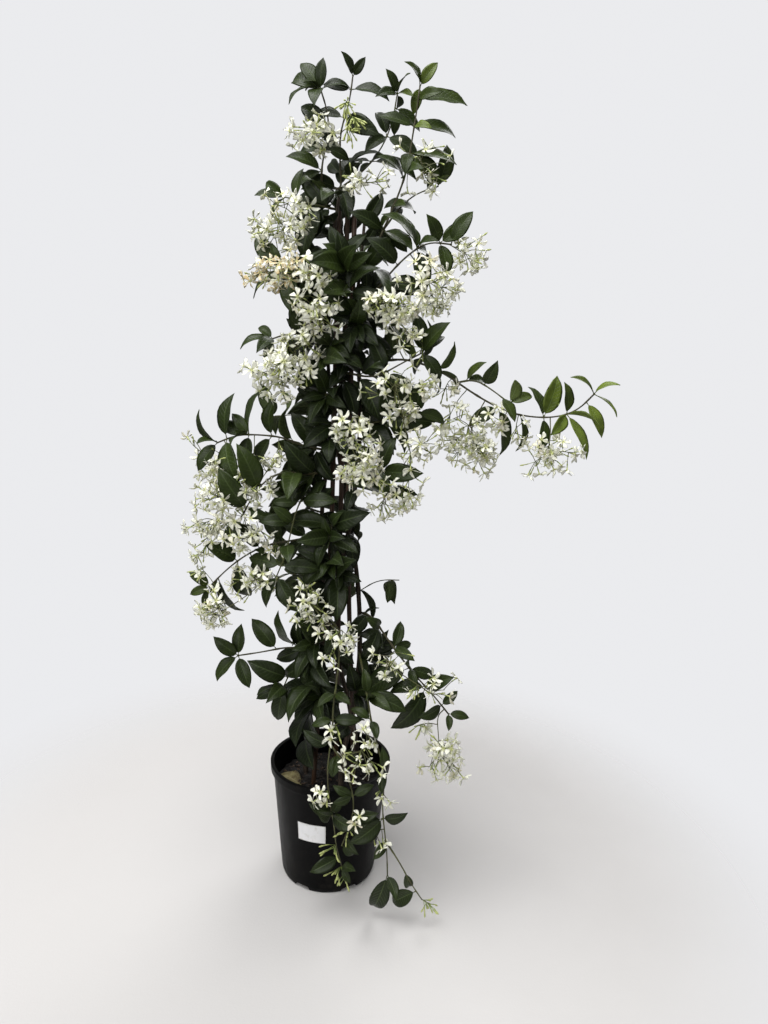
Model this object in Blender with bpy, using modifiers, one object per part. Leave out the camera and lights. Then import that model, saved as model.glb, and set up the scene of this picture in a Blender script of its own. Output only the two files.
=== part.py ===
"""Potted star jasmine trained on three canes. Metres, +Z up, origin at the centre of the pot's base."""
import math
import random

import bmesh
import bpy
from mathutils import Matrix, Vector
from mathutils.bvhtree import BVHTree

# Pot and soil
POT_HEIGHT = 0.178
POT_BASE_RADIUS = 0.0716
POT_RIM_RADIUS = 0.0916
POT_WALL = 0.0022
POT_FLOOR = 0.003
LIP_HEIGHT = 0.012
LIP_DEPTH = 0.0032
POT_SIDES = 36
POT_EDGE = 0.001
POT_FOOT_BEVEL = (0.0015, 0.006)
DRAIN_SLOTS = 6
DRAIN_WIDTH = 0.026
DRAIN_HEIGHT = 0.009
DRAIN_DEPTH = 0.018
DRAIN_INSET = 0.006
SOIL_HEIGHT = 0.140
SOIL_RIPPLE = 0.0025
SOIL_MOUND = 0.004
SOIL_RINGS = 4
SOIL_SIDES = 20
SOIL_EDGE_GAP = 0.001
HOLE_GAP = 0.0004
GAP = 0.0003

# Label on the pot's wall
LABEL_STEPS = 3
LABEL_HEIGHT = 0.029
LABEL_MIDDLE = 0.102
LABEL_THICKNESS = 0.0006
LABEL_FIRST_STEP = -12

# Canes: a tripod drawn together round one middle line
MIDDLE = Vector((0.006, 0.004, 0.0))
CANE_RADIUS = 0.0038
CANE_NAMES = ("cane_left", "cane_right", "cane_back")
CANE_ANGLES = (210.0, 330.0, 90.0)
CANE_SPREAD = ((0.040, 0.041), (0.280, 0.028), (0.530, 0.0145), (0.795, 0.0130), (0.985, 0.0122))
CANE_STEP = 0.13
CANE_SIDES = 6
TIE_HEIGHTS = (("tie_lower", 0.530), ("tie_upper", 0.795))
TIE_WIDTH = 0.006
TIE_THICKNESS = 0.0012
TIE_SIDES = 14

# Woody stems that twine up outside the canes
STEM_NAMES = ("stem_left", "stem_right", "stem_back")
STEM_ANGLES = (165.0, 285.0, 45.0)
STEM_TOPS = (1.02, 1.00, 0.97)
STEM_FOOT = 0.06
STEM_BASE_RADIUS = 0.0045
STEM_TOP_RADIUS = 0.0022
STEM_OFFSET = 0.0125
STEM_RISE_A_TURN = 0.90
STEM_STEP = 0.066
STEM_SWAY = 0.0012
STEM_SIDES = 6
STRAIGHT_FOOT = 0.2

# Clip on the left stem, and the dry leaf on the soil
CLIP_INNER = 0.0054
CLIP_OUTER = 0.0068
CLIP_HEIGHT = 0.008
CLIP_SIDES = 10
DRY_FOOT = (-0.042, -0.022, 0.0023)
DRY_TIP = (-0.079, 0.006, 0.0035)
DRY_WIDTH = 0.028

# Shoots, leaves and flowers
CM = 0.01
MM = 0.001
EYE = Vector((0.066, -1.087, 0.800))
SHOOT_STEP = 0.034
SHOOT_SIDES = 4
SIDE_SHOOT = 0.8
SHOOT_TIP = 0.55
LEAF_LENGTH = 0.062
LEAF_ASPECT = 0.44
LEAF_KEEL = 0.0013
LEAF_FOOT = 0.12
LEAF_ARCH = (0.07, 0.19)
FRONT_LIGHT = Vector((0, -0.6, 0.5))
BACK_LIGHT = Vector((0, 0.4, 0.5))
TOP_LIGHT = Vector((-0.1, -0.9, 0.6))
TOP_LIGHT_HEIGHTS = (0.72, 1.0)
LEAF_TURN_OUT = 0.4
LEAF_TURN_ANY = 0.5
TIP_LEAF = 0.8
SHORTEST_LEAF = 0.5
LONGEST_LEAF = 1.25
MORE_LEAF_REACH = (0.42, 0.6)
YOUNG_FROM = 33
YOUNG_WIDTH = 0.72
FLOWER_RADIUS = 0.0118
FLOWER_THROAT = 0.0023
PETALS = 5
PETAL_LEAN = 0.64
FLOWER_RISE = 0.0016
FLOWER_REACH = (0.015, 0.028)
BUNCH_SPAN = 0.024
BUNCH_LEAN = Vector((0, -0.2, -0.3))
STALK_RADIUS = 0.0010
STALK_STEP = 0.026
STALK_TIP = 0.7
SINK = 0.0015
CLEARANCE = 0.0004
FLOOR_CLEARANCE = 0.002

# Every place in these two tables is (x, z, y) in centimetres, read in the plane of the canes from EYE:
# at_depth() carries it along the line of sight to its depth y.
# A shoot: name, radius in mm, paths (the first is the main stem), leaf places (x, z), more leaves.
SHOOTS = (
    ("shoot_top_left", 1.7,
     (((-1.6, 96, -1), (-2.9, 100.5, -1.2), (-2.9, 105, -1.2), (-2, 108.6, -1), (-2.3, 111.4, -0.6),
       (-3.3, 114.2, -0.5)),
      ((-2.6, 98, -1.1), (-5, 99.6, -1.4), (-8, 100.2, -1))),
     ((-3.1, 116.6), (-5, 116.2), (-6, 113), (-0.8, 114.4), (-4.6, 114), (-9.6, 101.4), (-9, 98.4), (-6, 102),
      (-4.8, 94.6), (-4.2, 106.5), (-0.8, 106)), 4),
    ("shoot_top_middle", 1.7,
     (((0.2, 98, 2.9), (-0.4, 103.9, 1.5), (-0.7, 108, 0.9), (0.3, 111.5, 0.5), (0.9, 113.6, 0.3),
       (1, 116, 0.2)),
      ((-0.3, 102, 1.9), (3.6, 104.6, 1.4), (6, 108.6, 0.6), (6.7, 111.4, 0.2), (7, 114, 0))),
     ((3.4, 113.6), (-1.2, 114.6), (2, 117.4), (0, 117.8), (-2.4, 110.4), (2.4, 109.6), (8.3, 113.7),
      (5.1, 113.6), (8.5, 110.6), (5, 110), (7.9, 115.6), (6, 115.8), (4.3, 107.4), (7.8, 107.2), (1.9, 104.8)), 3),
    ("shoot_top_right", 1.8,
     (((3.2, 87.5, -1.5), (4.6, 93.5, -2), (6.8, 99, -2), (8.5, 103.5, -1.6), (9.2, 108.3, -1.2),
       (9.7, 112, -1), (10, 115, -0.8)),
      ((6, 97.4, -2), (9, 100.6, 0.4), (13, 102.2, 1.4))),
     ((13.2, 113), (12.3, 109.2), (12.2, 105.8), (8.7, 116.8), (11.4, 116.8), (7, 110.4), (6.4, 104.4),
      (8, 99.8), (11.4, 102.2), (13.6, 105.6), (3.4, 97.4), (7.4, 94.8), (11, 104.8)), 2),
    ("shoot_left_high", 1.6,
     (((-1.7, 86.5, -1.5), (-4, 88.6, -2.6), (-6.5, 90, -3), (-8.7, 90.7, -3)),),
     ((-3.7, 86.4), (-4.2, 92.2), (-6.9, 87.4), (-9.4, 92.8)), 4),
    ("shoot_left_upper", 1.6,
     (((-1.8, 79, -1), (-4.8, 81.8, -2), (-7.5, 81.9, -2.5), (-9.6, 81, -2.5)),),
     ((-12.4, 80.2), (-6, 84), (-9.8, 78.4), (-4, 78.8)), 2),
    ("shoot_left_long", 1.7,
     (((-2.3, 64, -1), (-6, 66.6, -2), (-9.5, 67.3, -2.5), (-14.5, 67.3, -3), (-17.4, 66, -3)),),
     ((-19, 69), (-15.4, 70), (-11.8, 70.8), (-13, 64.8), (-15, 63.6), (-19.2, 63.4), (-9.2, 70),
      (-10.6, 64.6), (-6.8, 69), (-6, 63.8)), 2),
    ("shoot_left_middle", 1.7,
     (((-2.4, 60, -2), (-5.5, 62.2, -4), (-9.5, 61.6, -5), (-12.4, 58, -5.5), (-13.9, 55, -5.5)),
      ((-4.4, 61.4, -3.4), (-6, 56, -6), (-7, 50.6, -6.4), (-8.6, 46.4, -6.4))),
     ((-15.6, 59.6), (-9.4, 58.6), (-11.3, 55.8), (-15.4, 52.4), (-12.9, 62.6), (-4.8, 57.8), (-8.8, 54.6),
      (-5, 47.8), (-9.6, 43.4), (-6.6, 43), (-10.4, 48.6)), 3),
    ("shoot_left_low", 1.7,
     (((-2.6, 50.4, -1.5), (-6, 52, -2.2), (-10, 51.2, -3), (-14, 49, -4), (-17, 46.2, -5),
       (-18.6, 44.4, -5.4)),),
     ((-16.8, 49.8), (-13.4, 45.8), (-18.6, 41.6), (-15.4, 43.2), (-9, 54), (-10.6, 47.6), (-12.8, 52.4),
      (-20.4, 45.8)), 1),
    ("shoot_left_lowest", 1.6,
     (((-3.1, 35.2, -1.5), (-6, 35.6, -3), (-9, 34.8, -4), (-12, 34.3, -4.5), (-14.4, 33.8, -4.5)),
      ((-4.6, 35.4, -2.3), (-6, 32.4, -4), (-7.4, 29, -4.6))),
     ((-16.6, 35.6), (-10.4, 37.4), (-9.8, 31.8), (-16.4, 31.2), (-13.2, 30.6), (-14, 37), (-7.9, 25.6),
      (-5, 26.8), (-10, 27.8), (-6.6, 38.2)), 0),
    ("shoot_right_high", 1.7,
     (((3, 84.6, -1), (4.8, 88, -2.4), (7.2, 91, -3), (10, 93.8, -3), (12.8, 95.2, -3), (15.2, 94.6, -3)),),
     ((5.6, 93.4), (8, 96.2), (9.8, 95.4), (11.2, 91.2), (14, 92.4), (12.6, 96.6), (15.8, 96.4), (9, 88),
      (6.6, 86.6)), 3),
    ("shoot_right_upper", 1.6,
     (((2.9, 73.4, -1.6), (5.2, 76, -3.6), (8.5, 78, -4.6), (11.8, 79.8, -5)),),
     ((11, 83.2), (13.8, 82.4), (13.4, 77.4), (8.6, 81), (8.7, 75), (5.4, 79.4)), 3),
    ("shoot_right_long", 1.9,
     (((2.9, 77, 1.2), (6, 78.4, 1.2), (10, 78.8, 1), (13.4, 77.6, 0.6), (16.3, 76.2, 0.2), (19.2, 74.2, 0),
       (23.8, 71.9, -0.5), (26.7, 71.2, -0.8), (30.4, 71.2, -1), (33, 71.4, -1), (34.8, 73, -1),
       (36.4, 74.8, -1)),
      ((16.3, 76.2, 0.2), (18.9, 76.4, -1.2), (21.9, 74.8, -1.6), (24.4, 73, -1.8))),
     ((21.5, 77.2), (20.7, 71), (26.4, 73.8), (30.2, 74.2), (31.6, 70.2), (29.2, 68.8), (23.2, 68.8),
      (26, 68.8), (32.4, 74), (34.2, 76.2), (38.6, 75.6), (38.6, 72.8), (36.6, 71), (34.4, 68.6),
      (15.1, 79.4), (14, 75.6), (19.4, 77.4), (7.6, 81.4), (11.6, 81.4), (28.2, 73.4)), 2),
    ("shoot_right_middle", 1.6,
     (((3, 68, -1.4), (5.5, 69.8, -3.6), (9, 70.8, -4.6), (11.4, 71.3, -4.6)),
      ((4.2, 68.8, -2.4), (5.6, 65.4, -5), (6.6, 61.6, -5.6), (7.2, 57.8, -5.6))),
     ((13.8, 70.4), (8.2, 67.8), (11.4, 74), (6.4, 73), (9.4, 62.6), (4.2, 60), (9.4, 59.4),
      (3.6, 65)), 3),
    ("shoot_right_low", 1.8,
     (((3.3, 43, -1.5), (5.5, 41, -3.5), (8, 37.4, -5), (10.5, 34, -6), (13, 31, -6.5), (16, 27.8, -6.5),
       (17.9, 25.4, -6.5)),),
     ((10.7, 34.9), (13.4, 32.2), (16.2, 30.6), (11.4, 29.2), (11.2, 25.6), (15, 25.8), (17.9, 24), (8.2, 30.6),
      (5.8, 39.8), (9.6, 38), (5.6, 36.4), (17.6, 27.8)), 0),
    ("shoot_front_fall", 1.6,
     (((0.6, 41.4, -3), (1, 37, -6.6), (0.8, 31, -9.2), (0.2, 27.2, -10.4), (0.2, 20.8, -11.4),
       (-0.5, 16.6, -11.8), (-0.2, 11.4, -11.8), (0.7, 7, -11.6), (1, 3.2, -11.5), (2.2, -1, -11.3)),
      ((0.2, 20.8, -11.4), (1.6, 18, -12.2), (2.8, 14.4, -12.4), (3.9, 10.6, -12.4), (3.2, 6, -12.2),
       (2, 2.8, -12))),
     ((-2.2, 21), (0.8, 17), (2, 12.2), (5.2, 12.4), (-1.4, 9), (-0.6, -0.6), (3, -2.6), (3.4, 2),
      (-1, 23.6), (2.4, 24), (5.6, 8.2)), 0),
    ("shoot_right_fall", 1.6,
     (((3.2, 37.4, -3.2), (4.4, 33, -7), (5.5, 27.3, -9.8), (6.6, 21, -11.4), (8.3, 16.4, -12),
       (8.3, 12, -12.2), (8.2, 8.6, -12.2), (8.9, 4.4, -12.2), (9.3, 0.6, -12.2), (9.4, -2.2, -12.2)),
      ((9.1, 3, -12.2), (11.2, 0.3, -13.2), (12.5, -2.2, -13.6), (13.6, -4.2, -13.6), (15, -6.2, -13.4))),
     ((8, -5.9), (12.1, -5.8), (10.3, 8.2), (5.9, 6.5), (8.6, 3.2), (8, 17.8), (4.4, 25), (8.4, 27)), 0),
    ("shoot_back_high", 1.6,
     (((0.8, 83, 3.2), (2.6, 86, 6), (3.4, 90, 8), (2, 94, 8.6)),
      ((1.8, 84.6, 4.8), (-1.4, 88, 7.2), (-4.6, 90, 7.8))),
     ((4.6, 92), (-1.8, 91.6), (6, 88)), 4),
    ("shoot_back_middle", 1.7,
     (((0.6, 63, 3.4), (2.6, 67, 6.2), (5.4, 70, 8), (8, 71.4, 8.6)),
      ((1.7, 65.2, 5), (-2.4, 69, 7.6), (-6.4, 70.6, 8), (-9.4, 70, 8))),
     ((9.4, 74), (-10.6, 73), (3, 73)), 6),
    ("shoot_back_low", 1.6,
     (((-0.6, 38, 4.2), (-2, 42, 7), (-5, 46, 8.4), (-7.4, 48, 8.6)),
      ((-1.3, 40, 5.7), (3, 44, 8), (7, 46.6, 8.6), (9.6, 46.4, 8.4))),
     ((-8, 51), (8, 44.6), (-1, 47.6)), 6),
    ("shoot_core_1", 1.6, (((-2.6, 40, -3), (-3.2, 36.2, -4.8), (-3, 31.5, -5), (-1.8, 28, -5)),),
     ((-1.2, 31), (-4.4, 26.2)), 10),
    ("shoot_core_2", 1.6, (((1.4, 44, -3.4), (0, 47.4, -4.6), (-0.8, 51, -4.6), (-0.6, 54.6, -4.4)),),
     ((-2.6, 47), (0.2, 51.6), (-2.6, 53.6), (2.2, 46.6)), 10),
    ("shoot_core_3", 1.6, (((-1.8, 70.6, -2.6), (-3, 73.4, -4), (-2.6, 77, -4.4), (-1.2, 80.4, -4.4)),),
     ((-5, 75.4), (-3.4, 81), (0.8, 78)), 9),
    ("shoot_core_4", 1.6, (((1.8, 80.6, -2.8), (2.2, 84, -4.2), (1, 88, -4.6), (0.2, 92.4, -4.4)),),
     ((3.9, 87.2), (-1.8, 90), (2.2, 94.4), (-1, 95)), 8),
    ("shoot_core_5", 1.6, (((-2.8, 54, 0.6), (-4.6, 56.6, 1.6), (-4.8, 60.4, 2), (-3.6, 64, 2)),),
     ((-7.4, 57), (-6.6, 61.6)), 10),
)

# A spray: name, the shoot that bears it, its bunches (x, z, y, flowers).
SPRAYS = (
    ("spray_top_left", "shoot_top_left", ((-3.8, 109.2, -3.2, 6),)),
    ("spray_top_middle", "shoot_top_middle", ((1.6, 102, -3.4, 2), (4.6, 102.6, -3.6, 2))),
    ("spray_top_right", "shoot_top_right", ((10.2, 106.2, -3.4, 3), (11.2, 103.2, -3.4, 2))),
    ("spray_left_crown", "shoot_top_left", ((-6.2, 97, -3.2, 4), (-9.4, 95, -3, 5))),
    ("spray_left_tan", "shoot_left_high", ((-6.6, 91.2, -5, 5), (-10.2, 89.4, -4, 4))),
    ("spray_left_high", "shoot_left_high", ((-2.2, 90.2, -6.8, 4), (-3.8, 85, -6.6, 5))),
    ("spray_left_upper", "shoot_left_upper", ((-5.8, 79.4, -5.4, 6), (-8.6, 76.6, -4.4, 6))),
    ("spray_left_tip", "shoot_left_long", ((-16.8, 62.6, -3.6, 5), (-20.8, 65.6, -3, 2))),
    ("spray_left_middle", "shoot_left_middle", ((-13.4, 60.6, -7, 5), (-16.6, 58, -6.6, 5))),
    ("spray_left_low", "shoot_left_low", ((-12.4, 54, -6.4, 5), (-17.8, 54.6, -5.6, 5))),
    ("spray_left_lowest", "shoot_left_low", ((-11, 45, -6.8, 4), (-18, 39.8, -6.4, 5))),
    ("spray_right_crown", "shoot_right_high", ((17, 93.4, -3.4, 4),)),
    ("spray_right_high", "shoot_right_high", ((12.2, 89.4, -5.6, 7),)),
    ("spray_right_upper", "shoot_right_upper", ((7.4, 86, -6.6, 7),)),
    ("spray_right_middle", "shoot_right_middle", ((7.9, 75.8, -8, 5), (10.6, 65.2, -6.8, 4))),
    ("spray_right_long", "shoot_right_long", ((18.8, 68.6, -2.6, 5), (20.4, 66, -2.8, 4))),
    ("spray_right_tip", "shoot_right_long", ((30.2, 65.6, -2.6, 6),)),
    ("spray_front_high", "shoot_right_middle", ((1, 68.2, -8, 5), (4.2, 62, -8.8, 7))),
    ("spray_front_low", "shoot_front_fall", ((-4.2, 42.8, -8.8, 5), (1.8, 37, -9.8, 4))),
    ("spray_right_low", "shoot_right_low", ((7.4, 33.8, -9, 3), (15.2, 28.6, -9, 2))),
    ("spray_right_lowest", "shoot_right_low", ((16.8, 18.6, -7.6, 6),)),
    ("spray_fall", "shoot_right_fall", ((4.9, 20.4, -12.8, 4), (4, 16.6, -13.6, 3))),
    ("spray_back", "shoot_back_middle", ((0.4, 74, 10, 4),)),
)

# Colours, linear: base colour, roughness
BLACK_PLASTIC = ((0.012, 0.012, 0.013), 0.5)
POTTING_MIX = ((0.035, 0.022, 0.014), 0.95)
BAMBOO = ((0.16, 0.075, 0.035), 0.6)
BARK = ((0.06, 0.04, 0.025), 0.85)
LEAF_GREEN = ((0.03, 0.075, 0.022), 0.35)
DRY_LEAF = ((0.30, 0.26, 0.11), 0.6)
PETAL_WHITE = ((0.80, 0.78, 0.62), 0.6)
TEAL_PLASTIC = ((0.01, 0.16, 0.17), 0.4)
PAPER = ((0.80, 0.80, 0.80), 0.6)


def at_depth(x, z, y):
    """A place read in the plane of the canes, carried along the line of sight to its depth."""
    seen = Vector((x * CM, 0.0, z * CM))
    return EYE + (seen - EYE) * (1.0 - y * CM / EYE.y)


def blend(table, z):
    """The value at height z in a table of (height, value)."""
    for (low, first), (high, second) in zip(table, table[1:]):
        if z <= high:
            return first + (second - first) * max(0.0, z - low) / (high - low)
    return table[-1][1]


def round_middle(angle, radius, z):
    """A point round the canes' middle line."""
    turn = math.radians(angle)
    return MIDDLE + Vector((radius * math.cos(turn), radius * math.sin(turn), z))


def smooth(points, step):
    """A smooth curve through the points, as a chain of nearly equal steps."""
    ends = [2 * points[0] - points[1]] + list(points) + [2 * points[-1] - points[-2]]
    fine = []
    for a, b, c, d in zip(ends, ends[1:], ends[2:], ends[3:]):
        for i in range(24):
            t = i / 24
            fine.append(0.5 * (2 * b + (c - a) * t + (2 * a - 5 * b + 4 * c - d) * t * t
                               + (3 * b - a - 3 * c + d) * t ** 3))
    fine.append(points[-1].copy())
    lengths = [0.0]
    for a, b in zip(fine, fine[1:]):
        lengths.append(lengths[-1] + (b - a).length)
    count = max(2, round(lengths[-1] / step))
    chain = []
    place = 0
    for i in range(count):
        goal = lengths[-1] * i / count
        while lengths[place + 1] < goal:
            place += 1
        share = (goal - lengths[place]) / max(1e-9, lengths[place + 1] - lengths[place])
        chain.append(fine[place].lerp(fine[place + 1], share))
    return chain + [fine[-1]]


def curve_tube(name, points, radii, sides):
    """A curve object with a round section of an even number of sides and filled caps."""
    curve = bpy.data.curves.new(name, "CURVE")
    curve.dimensions = "3D"
    curve.bevel_depth = 1.0
    curve.bevel_resolution = sides // 2 - 2
    curve.use_fill_caps = True
    spline = curve.splines.new("POLY")
    spline.points.add(len(points) - 1)
    for point, place, radius in zip(spline.points, points, radii):
        point.co = (*place, 1.0)
        point.radius = radius
    tube = bpy.data.objects.new(name, curve)
    bpy.context.scene.collection.objects.link(tube)
    return tube


def meshed(tube):
    """The closed mesh of a curve object, which is then removed."""
    tube_evaluated = tube.evaluated_get(bpy.context.evaluated_depsgraph_get())
    mesh = bpy.data.meshes.new_from_object(tube_evaluated)
    mesh.name = tube.name
    bpy.data.objects.remove(tube)
    shape = bmesh.new()
    shape.from_mesh(mesh)
    bmesh.ops.remove_doubles(shape, verts=shape.verts, dist=1e-6)
    bmesh.ops.recalc_face_normals(shape, faces=shape.faces)
    shape.to_mesh(mesh)
    shape.free()
    return mesh


def tree_of(mesh):
    """A search tree over a mesh's faces."""
    places = [v.co for v in mesh.vertices]
    return BVHTree.FromPolygons(places, [tuple(p.vertices) for p in mesh.polygons])


class Crowd:
    """What is already placed, so that a new piece can be laid clear of its neighbours."""

    def __init__(self):
        self.pieces = []

    def add(self, node, places, faces):
        low, high = corners(places)
        self.pieces.append((node, low, high, BVHTree.FromPolygons(places, faces)))

    def add_mesh(self, node, mesh):
        self.add(node, [v.co.copy() for v in mesh.vertices], [tuple(p.vertices) for p in mesh.polygons])

    def is_clear(self, node, places, faces):
        """True where the piece crosses nothing of another node, nor the pot, soil or floor."""
        if not clear_of_pot(places):
            return False
        low, high = corners(places)
        tree = None
        for other, other_low, other_high, other_tree in self.pieces:
            if other == node:
                continue
            if any(low[k] > other_high[k] or high[k] < other_low[k] for k in range(3)):
                continue
            if tree is None:
                tree = BVHTree.FromPolygons(places, faces)
            if tree.overlap(other_tree):
                return False
        return True


def corners(places):
    """The lowest and highest corner of a set of points."""
    low = [min(p[k] for p in places) for k in range(3)]
    high = [max(p[k] for p in places) for k in range(3)]
    return low, high


def clear_of_pot(places):
    """True where every point is above the floor and outside the pot, or in its mouth over the soil."""
    for place in places:
        if place.z < FLOOR_CLEARANCE:
            return False
        if place.z > POT_HEIGHT + 0.002:
            continue
        reach = math.hypot(place.x, place.y)
        wall = POT_BASE_RADIUS + (POT_RIM_RADIUS - POT_BASE_RADIUS) * place.z / POT_HEIGHT
        in_mouth = reach < wall - 2 * LIP_DEPTH and place.z > SOIL_HEIGHT + 0.008
        if reach < wall + 0.003 and not in_mouth:
            return False
    return True


def leaf_template(rings):
    """A leaf's closed blade of three-cornered rings: its faces, and where each vertex lies on it."""
    shape = bmesh.new()
    bmesh.ops.create_uvsphere(shape, u_segments=3, v_segments=rings + 1, radius=1.0)
    bmesh.ops.triangulate(shape, faces=shape.faces)
    around = [math.atan2(v.co.y, v.co.x) for v in shape.verts if abs(v.co.z) < 0.99]
    marks = []
    for v in shape.verts:
        step = round((rings + 1) * math.acos(max(-1.0, min(1.0, -v.co.z))) / math.pi)
        corner = round(3 * (math.atan2(v.co.y, v.co.x) - around[0]) / math.tau) % 3
        across, over = ((1, 0), (-1, 0), (0, -1))[corner]
        if step in (0, rings + 1):
            across = over = 0
        marks.append((step / (rings + 1), across, over))
    faces = [tuple(v.index for v in f.verts) for f in shape.faces]
    shape.free()
    return faces, marks


def leaf_width(t):
    """A leaf's half width at t of its length, as a share of its widest."""
    return math.sin(math.pi * min(1.0, max(0.0, t)) ** 0.92) ** 0.8 * (1.06 - 0.2 * t)


def leaf_place(leaf, t, across, over, grow=0.0):
    """A point of a leaf: t along it, across from -1 to 1, over -1 on the keel of its under face."""
    chord = leaf["tip"] - leaf["base"]
    length = chord.length
    along = chord / length
    face = (leaf["face"] - along * leaf["face"].dot(along)).normalized()
    side = face.cross(along)
    half = leaf["width"] * 0.5 * leaf_width(t)
    rib = leaf["base"] + chord * t + face * (4 * t * (1 - t) * leaf["arch"] * length)
    if 0.0 < t < 1.0:
        half += grow
        rib += face * (over * (LEAF_KEEL + grow))
    return rib + side * (across * half)


def leaf_places(leaf, grow=0.0):
    """Every vertex of a leaf's blade."""
    marks = LEAF_TEMPLATES[leaf["rings"]][1]
    return [leaf_place(leaf, t, across, over, grow) for t, across, over in marks]


def blade_places(leaf):
    """A leaf's blade without its foot, for a test against its neighbours on the same shoot."""
    marks = LEAF_TEMPLATES[leaf["rings"]][1]
    return [leaf_place(leaf, max(t, LEAF_FOOT), across, over) for t, across, over in marks]


LEAF_TEMPLATES = {rings: leaf_template(rings) for rings in (2, 3)}


def flower_template(cup):
    """A five-petalled pinwheel: a ring at the throat, petals that lean one way and a spike."""
    places = [Vector((0, 0, FLOWER_RISE)), Vector((0, 0, -3 * FLOWER_RISE))]
    faces = []
    for i in range(PETALS):
        turn = math.tau * i / PETALS
        places.append(Vector((FLOWER_THROAT * math.cos(turn), FLOWER_THROAT * math.sin(turn), 0)))
    for i in range(PETALS):
        turn = math.tau * (i + PETAL_LEAN) / PETALS
        places.append(Vector((FLOWER_RADIUS * math.cos(turn), FLOWER_RADIUS * math.sin(turn), cup)))
    for i in range(PETALS):
        this_root = 2 + i
        next_root = 2 + (i + 1) % PETALS
        tip = 2 + PETALS + i
        faces += [(0, this_root, tip), (0, tip, next_root), (this_root, next_root, tip)]
        faces.append((1, next_root, this_root))
    return places, faces


FLOWER_TEMPLATES = [flower_template(cup) for cup in (-0.0014, 0.001, 0.0036)]


def petal_places(flower, grow=0.0):
    """A flower's petals without its long spike, for a test against its neighbours."""
    places = FLOWER_TEMPLATES[flower["form"]][0]
    turn = flower["axis"].to_track_quat("Z", "Y").to_matrix()
    turn = turn @ Matrix.Rotation(flower["spin"], 3, "Z")
    middle = flower["foot"] + flower["axis"] * flower["reach"]
    scale = flower["size"] * (1 + grow / FLOWER_RADIUS)
    placed = [middle + turn @ (p * scale) for p in places]
    placed[0] += flower["axis"] * grow
    return placed


def flower_places(flower, grow=0.0):
    """Every vertex of a flower: its spike ends at its foot on the stalk."""
    places = petal_places(flower, grow)
    places[1] = flower["foot"]
    return places


def any_direction(draw):
    """A direction drawn evenly from all round."""
    z = draw.uniform(-1, 1)
    turn = draw.uniform(0, math.tau)
    flat = math.sqrt(1 - z * z)
    return Vector((flat * math.cos(turn), flat * math.sin(turn), z))


def outward(place):
    """The level direction away from the canes' middle line."""
    away = Vector((place.x - MIDDLE.x, place.y - MIDDLE.y, 0.0))
    return away.normalized() if away.length > 1e-6 else Vector((0, -1, 0))


def cane_points(index, foot=None):
    """A cane's points, from its foot in the soil to its top."""
    bottom = CANE_SPREAD[0][0] if foot is None else foot
    corner_points = [round_middle(CANE_ANGLES[index], radius, z) for z, radius in CANE_SPREAD]
    points = smooth(corner_points, CANE_STEP)
    return [points[0] + Vector((0, 0, bottom - CANE_SPREAD[0][0]))] + points[1:]


def stem_points(index):
    """A woody stem's points: it rises straight from the soil, then twines outside the canes."""
    points = []
    top = STEM_TOPS[index]
    count = round((top - STEM_FOOT) / STEM_STEP)
    for i in range(count + 1):
        z = STEM_FOOT + (top - STEM_FOOT) * i / count
        turned = 360.0 * max(0.0, z - STRAIGHT_FOOT) / STEM_RISE_A_TURN
        sway = STEM_SWAY * math.sin(z * 41 + index * 2)
        radius = blend(CANE_SPREAD, z) + STEM_OFFSET + sway
        points.append(round_middle(STEM_ANGLES[index] + turned, radius, z))
    return points


def stem_radii(count):
    """A woody stem's radii, thinner towards its top."""
    return [STEM_BASE_RADIUS + (STEM_TOP_RADIUS - STEM_BASE_RADIUS) * i / (count - 1) for i in range(count)]


def seated(node, points, radii, hosts):
    """The stem with its first point brought to about 0.3 mm from the host that bears it."""
    best = None
    for tree in hosts:
        hit = tree.find_nearest(points[1])
        if best is None or hit[3] < best[3]:
            best = hit
    spot = best[0]
    away = (points[1] - spot).normalized()
    for step in range(12):
        start = spot + away * (GAP + 0.00012 * step)
        mesh = meshed(curve_tube(node, [start] + points[1:], radii, SHOOT_SIDES))
        clear = not any(tree_of(mesh).overlap(tree) for tree in hosts)
        bpy.data.meshes.remove(mesh)
        if clear:
            return [start] + points[1:]
    return [start] + points[1:]


def lay_stem(crowd, node, corner_points, radius, step, tip, hosts):
    """A stem through the corner points, swayed until it crosses no other node."""
    for attempt in range(40):
        draw = random.Random(f"{node} {len(crowd.pieces)} {attempt}")
        sway = 0.0015 * attempt
        moved = [corner_points[0]] + [p + any_direction(draw) * sway for p in corner_points[1:]]
        points = smooth(moved, step)
        count = len(points)
        radii = [radius * (1 - (1 - tip) * i / (count - 1)) for i in range(count)]
        if hosts:
            points = seated(node, points, radii, hosts)
        wide = meshed(curve_tube(node, points, [r + CLEARANCE / 2 for r in radii], SHOOT_SIDES))
        faces = [tuple(p.vertices) for p in wide.polygons]
        places = [v.co.copy() for v in wide.vertices]
        clear = crowd.is_clear(node, places, faces)
        bpy.data.meshes.remove(wide)
        if clear:
            break
    else:
        print("stem not clear:", node)
    mesh = meshed(curve_tube(node, points, radii, SHOOT_SIDES))
    crowd.add_mesh(node, mesh)
    return {"points": points, "radii": radii, "mesh": mesh}


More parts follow.
